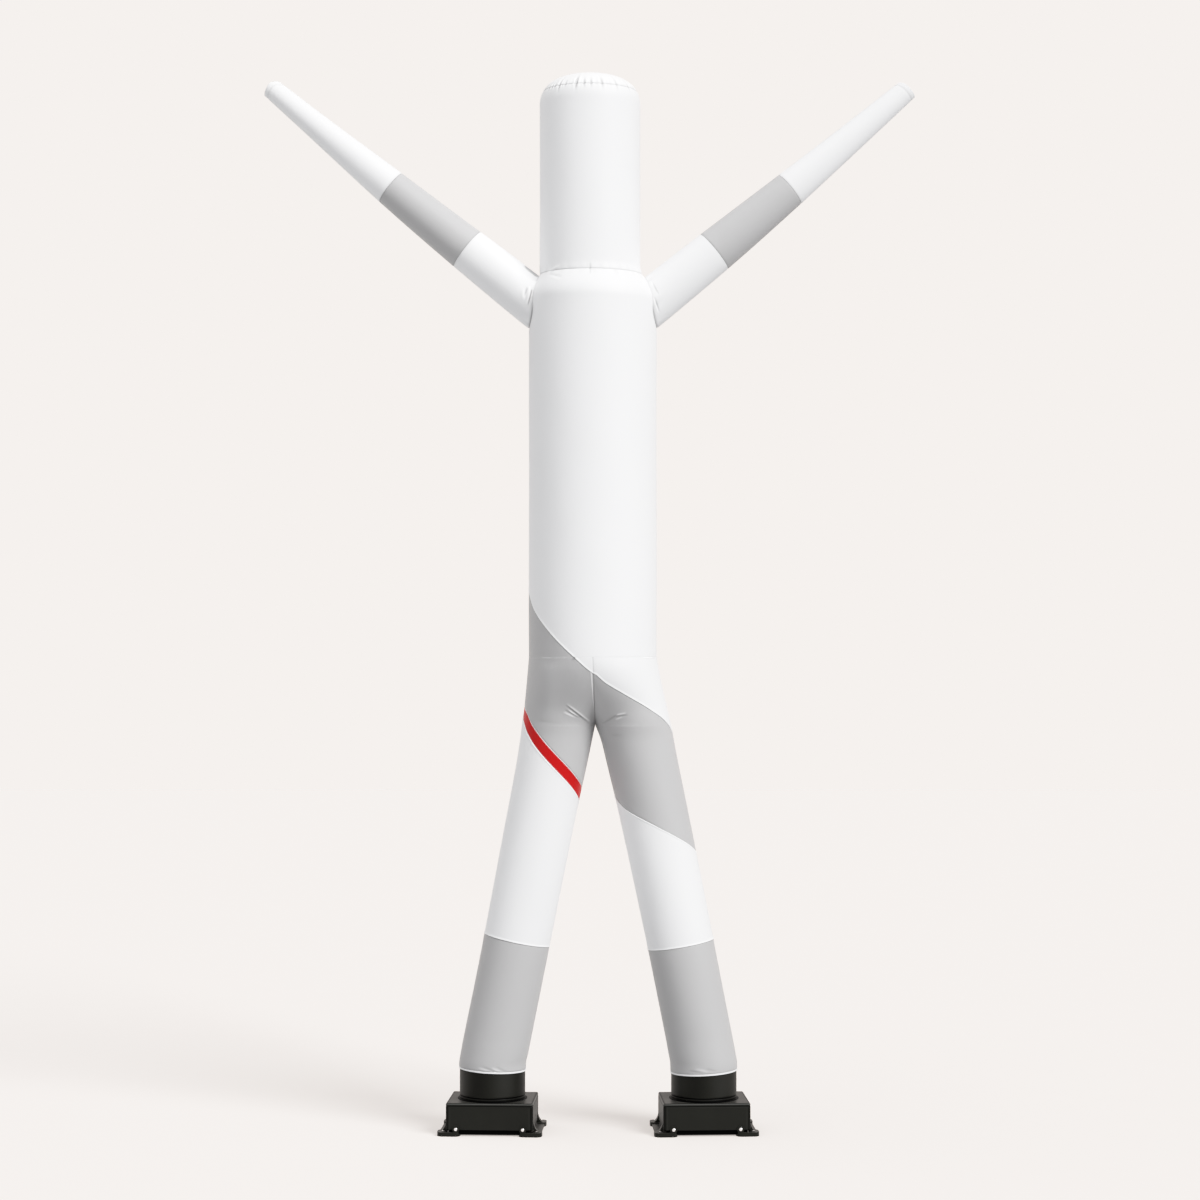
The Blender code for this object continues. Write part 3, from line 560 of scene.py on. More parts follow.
def grid_object(name, points, facing_out, uv_maps, attributes):
    """A smooth mesh of quads over a grid of points, merged where the grid meets itself."""
    rows, columns = points.shape[:2]
    index = np.arange(rows * columns).reshape(rows, columns)
    corners = (index[:-1, :-1], index[:-1, 1:], index[1:, 1:], index[1:, :-1])
    quads = np.stack(corners if facing_out else corners[::-1], axis=-1).reshape(-1, 4)
    mesh = bpy.data.meshes.new(name)
    mesh.vertices.add(rows * columns)
    mesh.vertices.foreach_set("co", points.astype(np.float32).ravel())
    mesh.loops.add(quads.size)
    mesh.loops.foreach_set("vertex_index", quads.ravel().astype(np.int32))
    mesh.polygons.add(len(quads))
    mesh.polygons.foreach_set("loop_start", np.arange(0, quads.size, 4, dtype=np.int32))
    for label, (across_it, up_it) in uv_maps.items():
        layer = mesh.uv_layers.new(name=label)
        values = np.stack((across_it, up_it), axis=-1).reshape(-1, 2)[quads.ravel()]
        layer.uv.foreach_set("vector", values.astype(np.float32).ravel())
    for label, values in attributes.items():
        attribute = mesh.attributes.new(label, "FLOAT", "POINT")
        attribute.data.foreach_set("value", values.astype(np.float32).ravel())
    mesh.update(calc_edges=True)
    merged = bmesh.new()
    merged.from_mesh(mesh)
    bmesh.ops.remove_doubles(merged, verts=merged.verts, dist=MERGED)
    merged.to_mesh(mesh)
    merged.free()
    mesh.shade_smooth()
    return added(name, mesh)


class Look:
    """A Principled material, or the world, with the few kinds of nodes that it needs."""

    def __init__(self, name, blocks=bpy.data.materials, **constants):
        self.block = blocks.new(name)
        self.block.use_nodes = True
        self.tree = self.block.node_tree
        for label, value in constants.items():
            self.socket(label).default_value = value

    def socket(self, label):
        return self.tree.nodes["Principled BSDF"].inputs[label.replace("_", " ")]

    def node(self, kind, inputs=(), output=0, **settings):
        """Adds a node, fills its inputs in order or by name, and returns one of its outputs."""
        made = self.tree.nodes.new("ShaderNode" + kind)
        for label, value in settings.items():
            setattr(made, label, value)
        named = inputs.items() if isinstance(inputs, dict) else enumerate(inputs)
        for key, value in named:
            if isinstance(value, bpy.types.NodeSocket):
                self.tree.links.new(value, made.inputs[key])
            elif value is not None:
                made.inputs[key].default_value = value
        return made.outputs[output]

    def math(self, operation, *values, clamp=False):
        return self.node("Math", values, operation=operation, use_clamp=clamp)

    def times(self, *values, clamp=False):
        return self.math("MULTIPLY", *values, clamp=clamp)

    def axis(self, vector, number):
        return self.node("SeparateXYZ", (vector,), output=number)

    def noise(self, where, scale, detail):
        return self.node("TexNoise", {"Vector": where, "Scale": scale, "Detail": detail})

    def between(self, share, low, high):
        """A value that follows a share from 0 to 1."""
        return self.node("MapRange", {"Value": share, "To Min": low, "To Max": high})

    def mixed(self, share, low, high):
        """A colour that follows a share from 0 to 1."""
        low, high = (c if isinstance(c, bpy.types.NodeSocket) else (*c, 1.0) for c in (low, high))
        return self.node("Mix", {0: share, 6: low, 7: high}, output=2, data_type="RGBA")

    def bump(self, height, distance, strength=1.0, normal=None):
        inputs = {"Height": height, "Distance": distance, "Strength": strength, "Normal": normal}
        return self.node("Bump", inputs)

    def use(self, **sockets):
        for label, socket in sockets.items():
            self.tree.links.new(socket, self.socket(label))


def shade(colour, share):
    """A colour made darker or lighter."""
    return tuple(min(BRIGHTEST_CLOTH, share * c) for c in colour)


BRIGHTEST_CLOTH = 0.97
# Noises as scale and detail, bumps as height and strength.
CLOUDS, CRINKLES = (2.3, 4.0), (34.0, 3.0)
CRINKLE_BUMP, WEAVE_BUMP, STITCH_BUMP = (0.0012, 0.25), (0.00012, 0.5), (0.0006, 0.8)
# Tones of the cloth: shade, and how much of it shows. Dust and yarn are the cloth's own; the
# trough's tone is painted shade and the ridge's a painted highlight.
DUST, PAINTED_TROUGH_SHADE, YARN = (0.5, 0.22), (0.3, 0.55), (0.7, 0.05)
CLOUD_SHADE, PAINTED_RIDGE_LIGHT, STITCH_SHOWN = 0.965, 1.55, 0.6
# Dust gathers towards the floor, from this height down.
DUST_TOP = 2.6
# How fast the painted shade in a fold's trough grows with its depth, and the painted highlight on a
# ridge with its height.
PAINTED_TROUGH_SHADE_GAIN, PAINTED_RIDGE_LIGHT_GAIN = -330.0, 650.0
# How sharply a stitch ends, and how much of its pitch it fills.
DASH_GAIN, DASH_MORE = 2.0, 1.2
RIM_FADE = 0.0006
ROUGHER = 0.1


def cloth_look(name, colour, thread, roughness, rim=0.0):
    """Coated plain-weave polyester, topstitched beside each sewn edge, with an overlocked rim,
    painted shade in fold troughs and painted highlights on ridges.
    """
    look = Look(name, Sheen_Weight=0.05, Sheen_Roughness=0.5, Specular_IOR_Level=0.2)

    def toned(base, place, tone, shown):
        return look.mixed(look.times(place, shown), base, shade(colour, tone))

    cloth_uv = look.node("UVMap", uv_map="cloth")
    x, y = look.axis(cloth_uv, 0), look.axis(cloth_uv, 1)
    warp = look.math("SINE", look.times(x, math.pi / YARN_PITCH))
    weft = look.math("SINE", look.times(y, math.pi / YARN_PITCH))
    weave = look.times(warp, weft)

    stitch_uv = look.node("UVMap", uv_map="stitches")
    inset, along = look.axis(stitch_uv, 0), look.axis(stitch_uv, 1)
    from_line = look.math("ABSOLUTE", look.math("SUBTRACT", inset, STITCH_INSET))
    line = look.math("SUBTRACT", 1.0, look.math("DIVIDE", from_line, STITCH_WIDTH), clamp=True)
    beat = look.math("SINE", look.times(along, TURN / STITCH_PITCH))
    dash = look.math("MULTIPLY_ADD", beat, DASH_GAIN, DASH_MORE, clamp=True)
    stitch = look.times(line, dash)

    place = look.node("TexCoord", output=3)
    cloudy, crinkle = look.noise(place, *CLOUDS), look.noise(place, *CRINKLES)
    base = look.mixed(cloudy, shade(colour, CLOUD_SHADE), colour)
    dust = look.math("MULTIPLY_ADD", look.axis(place, 2), -1 / DUST_TOP, 1.0, clamp=True)
    base = toned(base, dust, *DUST)
    fold = look.node("Attribute", attribute_name="fold", output=2)
    # Painted shade in the troughs of seams and creases, where less light falls.
    painted_trough_shade = look.times(fold, PAINTED_TROUGH_SHADE_GAIN, clamp=True)
    base = toned(base, painted_trough_shade, *PAINTED_TROUGH_SHADE)
    # A painted highlight on welts, pleat crests and other ridges.
    painted_ridge_light = look.times(fold, PAINTED_RIDGE_LIGHT_GAIN, clamp=True)
    base = look.mixed(painted_ridge_light, base, shade(colour, PAINTED_RIDGE_LIGHT))
    base = toned(base, look.math("MULTIPLY_ADD", weave, 0.5, 0.5), *YARN)
    base = look.mixed(look.times(stitch, STITCH_SHOWN), base, thread)
    if rim:
        overlock = look.math("MULTIPLY_ADD", inset, -1 / RIM_FADE, rim / RIM_FADE, clamp=True)
        base = look.mixed(overlock, base, thread)

    normal = look.bump(crinkle, *CRINKLE_BUMP)
    normal = look.bump(weave, *WEAVE_BUMP, normal)
    normal = look.bump(stitch, *STITCH_BUMP, normal)
    rough = look.between(cloudy, roughness, roughness + ROUGHER)
    look.use(Base_Color=base, Roughness=rough, Normal=normal)
    return look.block


PLASTIC_CLOUDS, GRAIN, PEBBLE_SCALE = (9.0, 5.0), (700.0, 2.0), 420.0
GRAIN_BUMP, PEBBLE_BUMP = (0.00025, 0.4), (0.0002, 0.3)
# The plastic's darkest and lightest shade, least and most roughness, and its gloss where plain and
# where shade is painted.
PLASTIC_SHADES, PLASTIC_ROUGHNESS, PLASTIC_GLOSS = (0.8, 1.25), (0.34, 0.5), (0.1, 0.01)
# How the dust, with painted light, on faces that look up follows from their slope.
DUST_AND_TOP_LIGHT_GAIN, DUST_AND_TOP_LIGHT_LESS = 1.5, -0.6
# Colours of dust with painted top light, of painted highlights on edges, and of painted shade.
DUST_AND_TOP_LIGHT_COLOUR, PAINTED_HIGHLIGHT_COLOUR, PAINTED_SHADE_COLOUR = (0.11, 0.105, 0.1), (0.12, 0.12, 0.115), (0.0012,) * 3
DUST_AND_TOP_LIGHT_SHOWN, PAINTED_HIGHLIGHT_SHOWN = 0.42, 0.6


def plastic_look(name, colour):
    """Moulded plastic: a fine grain, cloudy gloss, painted highlights on edges, painted shade in
    grooves and corners, and dust with painted light on top faces.
    """
    look = Look(name)
    place = look.node("TexCoord", output=3)
    cloudy, fine = look.noise(place, *PLASTIC_CLOUDS), look.noise(place, *GRAIN)
    pebbles = look.node("TexVoronoi", {"Vector": place, "Scale": PEBBLE_SCALE})
    upward = look.axis(look.node("NewGeometry", output=1), 2)
    # Dust and painted top light: faces that look up are lighter in patches.
    level_top = look.math("MULTIPLY_ADD", upward, DUST_AND_TOP_LIGHT_GAIN, DUST_AND_TOP_LIGHT_LESS, clamp=True)
    dust_and_top_light = look.times(level_top, cloudy)
    base = look.mixed(cloudy, *(shade(colour, share) for share in PLASTIC_SHADES))
    base = look.mixed(look.times(dust_and_top_light, DUST_AND_TOP_LIGHT_SHOWN), base, DUST_AND_TOP_LIGHT_COLOUR)
    # Painted light from the skins: a painted highlight along edges above 0, painted shade in
    # grooves, corners and under the housing below 0.
    painted_light = look.node("Attribute", attribute_name="painted_light", output=2)
    base = look.mixed(look.times(painted_light, PAINTED_HIGHLIGHT_SHOWN, clamp=True), base, PAINTED_HIGHLIGHT_COLOUR)
    painted_shade = look.times(painted_light, -1.0, clamp=True)
    base = look.mixed(painted_shade, base, PAINTED_SHADE_COLOUR)
    normal = look.bump(fine, *GRAIN_BUMP)
    normal = look.bump(pebbles, *PEBBLE_BUMP, normal)
    gloss = look.between(painted_shade, *PLASTIC_GLOSS)
    rough = look.between(cloudy, *PLASTIC_ROUGHNESS)
    look.use(Base_Color=base, Roughness=rough, Specular_IOR_Level=gloss, Normal=normal)
    return look.block


TURNING_MARKS, MARKS_BUMP, STEEL_ROUGHNESS = (900.0, 3.0), (0.00008, 0.4), (0.22, 0.38)
STEEL_SHADES, PAINTED_SHADE_STEEL = ((0.74,) * 3, (0.86, 0.86, 0.87)), (0.1,) * 3
# A screw head's bright middle and the passage to its rim of painted shade, as shares of its width.
SCREW_BRIGHT, SCREW_PASSAGE = 0.33, 0.08


def steel_look(name, across_it):
    """Plated screw heads with a rim of painted shade: across_it is 1 on the two axes across a head.
    """
    look = Look(name, Metallic=1.0)
    place = look.node("TexCoord", output=3)
    marks = look.noise(place, *TURNING_MARKS)
    base = look.mixed(marks, *STEEL_SHADES)
    to_middle = look.node("TexCoord"), (-0.5,) * 3
    from_middle = look.node("VectorMath", to_middle, operation="ADD")
    flat = look.node("VectorMath", (from_middle, across_it), operation="MULTIPLY")
    from_axis = look.node("VectorMath", (flat,), output=1, operation="LENGTH")
    reach = {"Value": from_axis, "From Min": SCREW_BRIGHT, "From Max": SCREW_BRIGHT + SCREW_PASSAGE}
    # Painted shade round the head's rim, which leaves only its middle bright.
    base = look.mixed(look.node("MapRange", reach), base, PAINTED_SHADE_STEEL)
    rough = look.between(marks, *STEEL_ROUGHNESS)
    look.use(Base_Color=base, Roughness=rough, Normal=look.bump(marks, *MARKS_BUMP))
    return look.block


# An edge's height beside its seam: a welt over the allowance, the groove along one, or neither.
WELT, GROOVE, SHALLOW, PLAIN = 0.0017, -0.0018, -0.0009, 0.0
FOOT_GROOVE, HEM_GROOVE = 0.8 * GROOVE, 0.5 * SHALLOW
WELT_WIDTH, GROOVE_WIDTH = 0.0058, 0.004
# Seams that draw the cloth in, by depth and width, on one side and on the other.
CAP_DIP, BELOW_CAP_DIP, NECK_DIP = (0.002, 0.0045), (0.0018, 0.004), (0.0013, 0.0042)
HIP_DIP, CROTCH_DIP, TIP_DIP = (0.0012, 0.004), (0.0016, 0.0034), (0.0012, 0.003)
ROOT_DIP, BESIDE_ROOT_DIP = (0.003, 0.006), (0.0034, 0.0075)
# The gathers beside them: height, reach, count, phase.
CAP_GATHERS, BELOW_CAP_GATHERS = (0.0008, 0.03, 61, 0.9), (0.0006, 0.02, 61, 0.9)
HEAD_GATHERS, TORSO_GATHERS = (0.0006, 0.026, 31, 0.4), (0.0007, 0.028, 29, 2.1)
ROOT_GATHERS = (0.0009, 0.034)
# A pleat's crests: their place in its widths, and their height as a share of its depth.
CREST_PLACE, CREST_HEIGHT = 2.1, 0.35
# What lies this near the hip seam is on it.
ON_SEAM = 0.001


def along_edge(distance, height):
    """The welt or groove along an edge, by its height there."""
    welt = np.exp(-((distance / WELT_WIDTH) ** 4))
    return height * np.where(np.asarray(height) > 0, welt, bell(distance, GROOVE_WIDTH))


def panel_relief(low, high, more=None):
    """A panel's edges, its long seam, and what more lies on it."""

    def relief(at):
        folds = along_edge(at.low, low) + along_edge(at.high, high) + along_edge(at.side, SHALLOW)
        return folds + more(at) if more else folds

    return relief


def deep_pleats(at, distance, depth_share=1.0, reach_share=1.0):
    """The cap's gathers: narrow pleats that cross its seam."""
    radius = np.hypot(at.point[..., 0] - HEAD_X, at.point[..., 1])
    total = np.zeros(at.u.shape)
    for place, depth, width, reach in CAP_PLEATS:
        fade = depth_share * bell(distance, reach_share * reach)
        for middle in (place, 1 - place):
            off = np.abs((at.u - middle + 0.5) % 1 - 0.5) * TURN * radius
            crests = CREST_HEIGHT * bell(off - CREST_PLACE * width, width)
            total += depth * fade * (crests - bell(off, width))
    return total


def cap_relief(at):
    small = gathers(at, at.low, *CAP_GATHERS)
    return dip(at.low, *CAP_DIP) + deep_pleats(at, at.low) + small


def head_relief(at):
    cap_side = dip(at.high, *BELOW_CAP_DIP)
    cap_side += deep_pleats(at, at.high, depth_share=0.7, reach_share=0.6)
    cap_side += gathers(at, at.high, *BELOW_CAP_GATHERS)
    neck_side = dip(at.low, *NECK_DIP) + gathers(at, at.low, *HEAD_GATHERS)
    return cap_side + neck_side + along_edge(at.side, SHALLOW) + creased(at, NECK_CREASES)


ROOT_SEAM_TOP, ROOT_SEAM_FADE, ROOT_SEAM_LEAST = 3.925, 0.07, 0.15


def root_seam(at, distance, depth_and_width):
    """The seam round an arm's root, which pulls deepest below the arm."""
    share = np.maximum(ROOT_SEAM_LEAST, eased((ROOT_SEAM_TOP - at.rise) / ROOT_SEAM_FADE))
    return share * dip(distance, *depth_and_width)


def torso_relief(at):
    low_edge = np.where(at.low_z > HIP_Z + ON_SEAM, WELT, PLAIN)
    total = dip(at.high, *NECK_DIP) + gathers(at, at.high, *TORSO_GATHERS)
    edges = along_edge(at.low, low_edge) + along_edge(at.side, SHALLOW)
    total += edges + creased(at, NECK_CREASES)
    for clearance in (left_clearance, right_clearance):
        total += root_seam(at, np.abs(clearance(at.point)), BESIDE_ROOT_DIP)
    return total


# The welt beside the seam between the legs: where it fades out downwards, its place and width.
SIDE_WELT_END, SIDE_WELT_FADE = 1.955, 0.11
SIDE_WELT_PLACE, SIDE_WELT_WIDTH = 0.013, 0.0046


def leg_sash_relief(side_welt):
    """A leg's sash, whose upper edge is partly the hip seam, with a deep seam between the legs."""

    def relief(at):
        high_edge = np.where(at.high_z > HIP_Z - ON_SEAM, PLAIN, GROOVE)
        crotch_seam, inseam = dip(at.side, *CROTCH_DIP), along_edge(at.side, SHALLOW)
        seam = np.where(at.rise > CROTCH_Z, crotch_seam, inseam)
        welt = side_welt * bell(at.side - SIDE_WELT_PLACE, SIDE_WELT_WIDTH)
        welt = welt * eased((at.rise - SIDE_WELT_END) / SIDE_WELT_FADE)
        across_it = along_edge(at.low, GROOVE) + along_edge(at.high, high_edge)
        return across_it + seam + welt + creased(at, CROTCH_CREASES + HIP_CREASES)

    return relief


def hip_panel_relief(at):
    return along_edge(at.low, WELT) + dip(at.side, *HIP_DIP) + creased(at, HIP_CREASES)


foot_relief = panel_relief(FOOT_GROOVE, GROOVE, more=lambda at: creased(at, HEM_CREASES))


def hem_relief(at):
    return along_edge(at.high, HEM_GROOVE)


def hand_relief(at):
    seams = along_edge(at.high, SHALLOW) + along_edge(at.side, SHALLOW)
    return seams + dip(at.low - HEM_TURN, *TIP_DIP)


def root_relief(count, phase):
    """An arm's white root, gathered where it is sewn to the torso."""

    def sewn_on(at):
        gathered = gathers(at, at.high, *ROOT_GATHERS, count, phase)
        return root_seam(at, at.high, ROOT_DIP) + gathered + creased(at, ROOT_CREASES)

    return panel_relief(SHALLOW, PLAIN, more=sewn_on)


white_cloth = cloth_look("dancer_white_cloth", (0.91, 0.91, 0.917), (0.9,) * 3, 0.42)
grey_cloth = cloth_look("dancer_grey_cloth", (0.488, 0.484, 0.486), (0.8,) * 3, 0.42)
red_cloth = cloth_look("dancer_red_cloth", (0.515, 0.001, 0.0015), (0.88,) * 3, 0.4, rim=0.002)
black_plastic = plastic_look("blower_black_plastic", (0.0085, 0.0088, 0.007))
tab_screw_steel = steel_look("blower_tab_screw_steel", across_it=(1.0, 0.0, 1.0))
ear_screw_steel = steel_look("blower_ear_screw_steel", across_it=(1.0, 1.0, 0.0))
left_leg, right_leg = leg(LEFT, 1), leg(RIGHT, -1)
left_arm, left_clearance = arm(tip=(-1.5231, 4.9489), root=(-0.2678, 3.93), radii=LEFT_ARM_RADII)
right_arm, right_clearance = arm(tip=(1.5072, 4.934), root=(0.3076, 3.941), radii=RIGHT_ARM_RADII)


def columns(*runs):
    """Places round a tube, from runs of (start, end, number of steps)."""
    places = [np.linspace(start, end, steps + 1)[:-1] for start, end, steps in runs]
    return np.concatenate((*places, [runs[-1][1]]))


body_u = columns((-0.25, 0.75, BODY_COLUMNS))
head_u = columns((-0.25, 0, 64), (0, 0.5, 300), (0.5, 0.75, 64))
sash_u = columns((-80, 80, 160)) / BODY_COLUMNS
leg_u = columns((0, 1, 224))
leg_sash_u = columns((0, 0.27, 100), (0.27, 0.73, 80), (0.73, 1, 65))
arm_u, root_u = columns((0.75, 1.75, 168)), columns((0.75, 1.75, 240))


def left_sash_top(u):
    """The upper edge of the left leg's sash, which ends at the hip seam."""
    return np.minimum(HIP_Z, curve_through(LEFT_SASH_TOP, across(u)))


cap_radius = body_radius(CAP_SEAM_Z)
cap_rows = [spaced(cap_radius, high_fine=False)]
crown_guides = [level(cap_radius), level(0.0)]
sheet("head_cap", white_cloth, crown, crown_guides, cap_rows, head_u, cap_relief, high_end=NO_END)
head_guides = [level(NECK_Z), level(CAP_SEAM_Z)]
head_rows = [spaced(CAP_SEAM_Z - NECK_Z, coarse=0.01)]
sheet("head", white_cloth, body, head_guides, head_rows, head_u, head_relief)
sheet(
    "torso", white_cloth, body,
    [lambda u: np.maximum(HIP_Z, cut(TORSO_SASH_EDGE)(u)), level(SHOULDER_Z), level(NECK_Z)],
    [
        spaced(SHOULDER_Z - HIP_Z, high_fine=False, coarse=0.012),
        spaced(NECK_Z - SHOULDER_Z, low_fine=False, coarse=0.007),
    ],
    body_u, torso_relief,
)
sheet(
    "torso_sash", grey_cloth, body, [level(HIP_Z), cut(TORSO_SASH_EDGE)],
    [spaced(TORSO_SASH_EDGE[0][1] - HIP_Z)], sash_u, panel_relief(PLAIN, GROOVE),
)


def build_leg(side, surface, sash_top, cuts, crotch_row_z, foot_edge, hem, side_welt=0.0):
    """One leg's panels. The row of points from the crotch ends on the outer side at crotch_row_z,
    and the foot's edge and the hem are given as their height in the middle and their tilt."""
    name = "leg_" + side
    sheet(
        name + "_sash", grey_cloth, surface,
        [cut(cuts[0]), lambda u: CROTCH_Z + (crotch_row_z - CROTCH_Z) * across(u), sash_top],
        [spaced(0.3, high_fine=False, coarse=0.0034), spaced(0.25, low_fine=False, coarse=0.003)],
        leg_sash_u, leg_sash_relief(side_welt),
    )
    if len(cuts) > 1:
        stripe = [cut(cuts[1]), cut(cuts[0])]
        edges = panel_relief(SHALLOW, SHALLOW)
        sheet(name + "_stripe", red_cloth, surface, stripe, [spaced(0.055)], leg_u, edges)
    foot_top = slanted(*foot_edge)
    white = [foot_top, cut(cuts[-1])]
    edges = panel_relief(WELT, WELT)
    sheet(name + "_white", white_cloth, surface, white, [spaced(0.75)], leg_u, edges)
    hem_top = slanted(hem[0] + HEM_SHOWN, hem[1])
    sheet(
        name + "_foot", grey_cloth, surface, [hem_top, level(ANKLE_Z), foot_top],
        [
            spaced(ANKLE_Z - hem[0], high_fine=False, coarse=0.004),
            spaced(foot_edge[0] - ANKLE_Z, low_fine=False),
        ],
        leg_u, foot_relief, low_end=CLOSE_END,
    )
    sheet(
        name + "_hem", white_cloth, surface, [slanted(*hem), hem_top],
        [np.linspace(0, 1, HEM_ROWS)], leg_u, hem_relief, low_end=TURNED_END, high_end=CLOSE_END,
    )


build_leg(
    "left", left_leg, left_sash_top, [LEFT_SASH_END, LEFT_STRIPE_END], crotch_row_z=2.12,
    foot_edge=(0.904, 0.0324), hem=(0.2925, 0.0069), side_welt=0.0019,
)
build_leg(
    "right", right_leg, cut(RIGHT_SASH_EDGE), [RIGHT_SASH_END], crotch_row_z=1.7,
    foot_edge=(0.8835, 0.0268), hem=(0.2815, 0.0078),
)
CORNER_POINTS = 36
corner_guides, corner_rows = [left_sash_top, level(HIP_Z)], [spaced(0.076, coarse=0.004)]
for end, corner_u in (("front", leg_u[:CORNER_POINTS]), ("back", leg_u[-CORNER_POINTS:])):
    name = "leg_left_corner_" + end
    sheet(name, white_cloth, left_leg, corner_guides, corner_rows, corner_u, hip_panel_relief)
top_guides, top_rows = [cut(RIGHT_SASH_EDGE), level(HIP_Z)], [spaced(0.36, coarse=0.006)]
sheet("leg_right_top", white_cloth, right_leg, top_guides, top_rows, leg_u, hip_panel_relief)


def build_arm(side, surface, band, tip_cut, relief):
    """One arm's three panels: its open tip stands in by the cut on its upper and lower side."""
    name = "arm_" + side

    def open_tip(u):
        upper = (1 + np.cos(TURN * u)) / 2
        return tip_cut[0] * upper**4 + tip_cut[1] * (1 - upper) ** 2

    hand, rows = [open_tip, level(band[0])], [spaced(band[0])]
    sheet(name + "_hand", white_cloth, surface, hand, rows, arm_u, hand_relief, low_end=TURNED_END)
    middle, rows = [level(band[0]), level(band[1])], [spaced(band[1] - band[0])]
    edges = panel_relief(GROOVE, GROOVE)
    sheet(name + "_band", grey_cloth, surface, middle, rows, arm_u, edges)
    root, rows = [level(band[1]), lambda u: meets_body(surface, u)], [spaced(0.42, coarse=0.004)]
    sheet(name + "_root", white_cloth, surface, root, rows, root_u, relief)


left_root, right_root = root_relief(count=13, phase=0.3), root_relief(count=12, phase=1.7)
build_arm("left", left_arm, band=(0.754, 1.22), tip_cut=(0.034, 0.015), relief=left_root)
build_arm("right", right_arm, band=(0.735, 1.2), tip_cut=(0.018, 0.0), relief=right_root)

# The collar's section, from the inside of its foot up, over its mouth and down the outside.
# radius, height, painted light: above 0 a painted highlight, below 0 painted shade in the grooves
# and round the foot
OUTLET_PROFILE = (
    (0.1501, 0.1553, -0.5), (0.1501, 0.17, 0), (0.1501, 0.3, 0), (0.1397, 0.337, 0),
    (0.1392, 0.339, 0), (0.1402, 0.34, 0), (0.1432, 0.34, 0), (0.1443, 0.339, 0),
    (0.1455, 0.335, 0), (0.154, 0.304, 0), (0.1551, 0.299, 0), (0.1551, 0.295, 0),
    (0.1551, 0.182, 0), (0.1551, 0.177, -0.1), (0.1549, 0.1755, -0.4), (0.153, 0.174, -1),
    (0.153, 0.17, -1), (0.1548, 0.1685, -0.6), (0.1551, 0.167, -0.3), (0.1551, 0.164, -0.3),
    (0.1548, 0.1625, -1), (0.1545, 0.158, -1), (0.16, 0.157, -1), (0.164, 0.1566, -1),
    (0.1648, 0.156, -1), (0.1648, 0.1553, -1),
)
# Painted sheen on the collar, paler and darker streaks that stand for its reflections: from what
# height up, and their count, place and strength.
SHEEN_FROM_Z = 0.18
SHEEN_TURNS, SHEEN_ANGLE, SHEEN_LIGHT, SHEEN_DARK = 4, math.radians(-63), 0.11, 0.35
# The housing's section: how far a row stands in from the wall, its height and its painted light:
# above 0 a painted highlight on an edge, below 0 painted shade in a groove or under the housing.
HOUSING_PROFILE = (
    (0.15, 0.005, -1), (0.03, 0.005, -1), (0.016, 0.0054, -1), (0.014, 0.008, -1),
    (0.014, 0.025, -1), (0.013, 0.0275, -1), (0.01, 0.029, -1), (0.004, 0.0298, -0.6),
    (0.0014, 0.0305, -0.2), (0.0003, 0.032, 0.1), (0, 0.0345, 0), (0, 0.039, 0), (0, 0.13, 0),
    (0, 0.1385, -0.1), (0.001, 0.1396, -0.6), (0.002, 0.1403, -0.9), (0.002, 0.1418, -0.9),
    (0.0008, 0.1428, -0.2), (0.0002, 0.144, 0), (0.0002, 0.1472, 0), (0.0006, 0.1492, 0.75),
    (0.0016, 0.152, 0.75), (0.003, 0.1538, -0.2), (0.005, 0.1547, -0.9), (0.0085, 0.155, -0.6),
    (0.013, 0.155, 0), (0.03, 0.155, 0), (0.15, 0.155, 0),
)
HOUSING_CORNER, LEAST_CORNER, CORNER_STEPS = 0.012, 0.0015, 8
# Distance along a wall from a corner's round, and the painted highlight there; the round itself gets
# painted shade.
BESIDE_CORNER = ((0.002, 0.0), (0.0055, 0.1), (0.011, 0.02))
CORNER_PAINTED_SHADE, WALL_TOP = -0.5, 0.139


def placed(points, x, yaw):
    """Points of a blower's own frame, in the scene's."""
    cos, sin = math.cos(yaw), math.sin(yaw)
    turn = np.array(((cos, sin, 0), (-sin, cos, 0), (0, 0, 1)))
    return points @ turn + (x, 0, 0)


def housing_row(inset, z, painted_tone):
    """A rounded rectangle that stands in from the housing's walls, and its painted light and shade.
    """
    radius = max(HOUSING_CORNER - inset, LEAST_CORNER)
    half_x, half_y = HOUSING_WIDTH / 2 - inset, HOUSING_DEPTH / 2 - inset
    row = []
    for x_side, y_side, quarter in ((1, 1, 0), (-1, 1, 1), (-1, -1, 2), (1, -1, 3)):
        angles = math.pi / 2 * (quarter + np.linspace(0, 1, CORNER_STEPS + 1))
        middle = (x_side * (half_x - radius), y_side * (half_y - radius))
        arc = middle + radius * np.stack((np.cos(angles), np.sin(angles)), axis=-1)
        back = np.array((np.sin(angles[0]), -np.cos(angles[0])))
        on = np.array((-np.sin(angles[-1]), np.cos(angles[-1])))
        row += [arc[0] + back * distance for distance, _ in BESIDE_CORNER[::-1]]
        row += [*arc]
        row += [arc[-1] + on * distance for distance, _ in BESIDE_CORNER]
    beside = [share for _, share in BESIDE_CORNER]
    corner = beside[::-1] + [CORNER_PAINTED_SHADE] * (CORNER_STEPS + 1) + beside
    painted_tones = [painted_tone + (share if z < WALL_TOP else 0) for share in 4 * corner + corner[:1]]
    return np.array([(x, y, z) for x, y in row + row[:1]]), np.array(painted_tones)


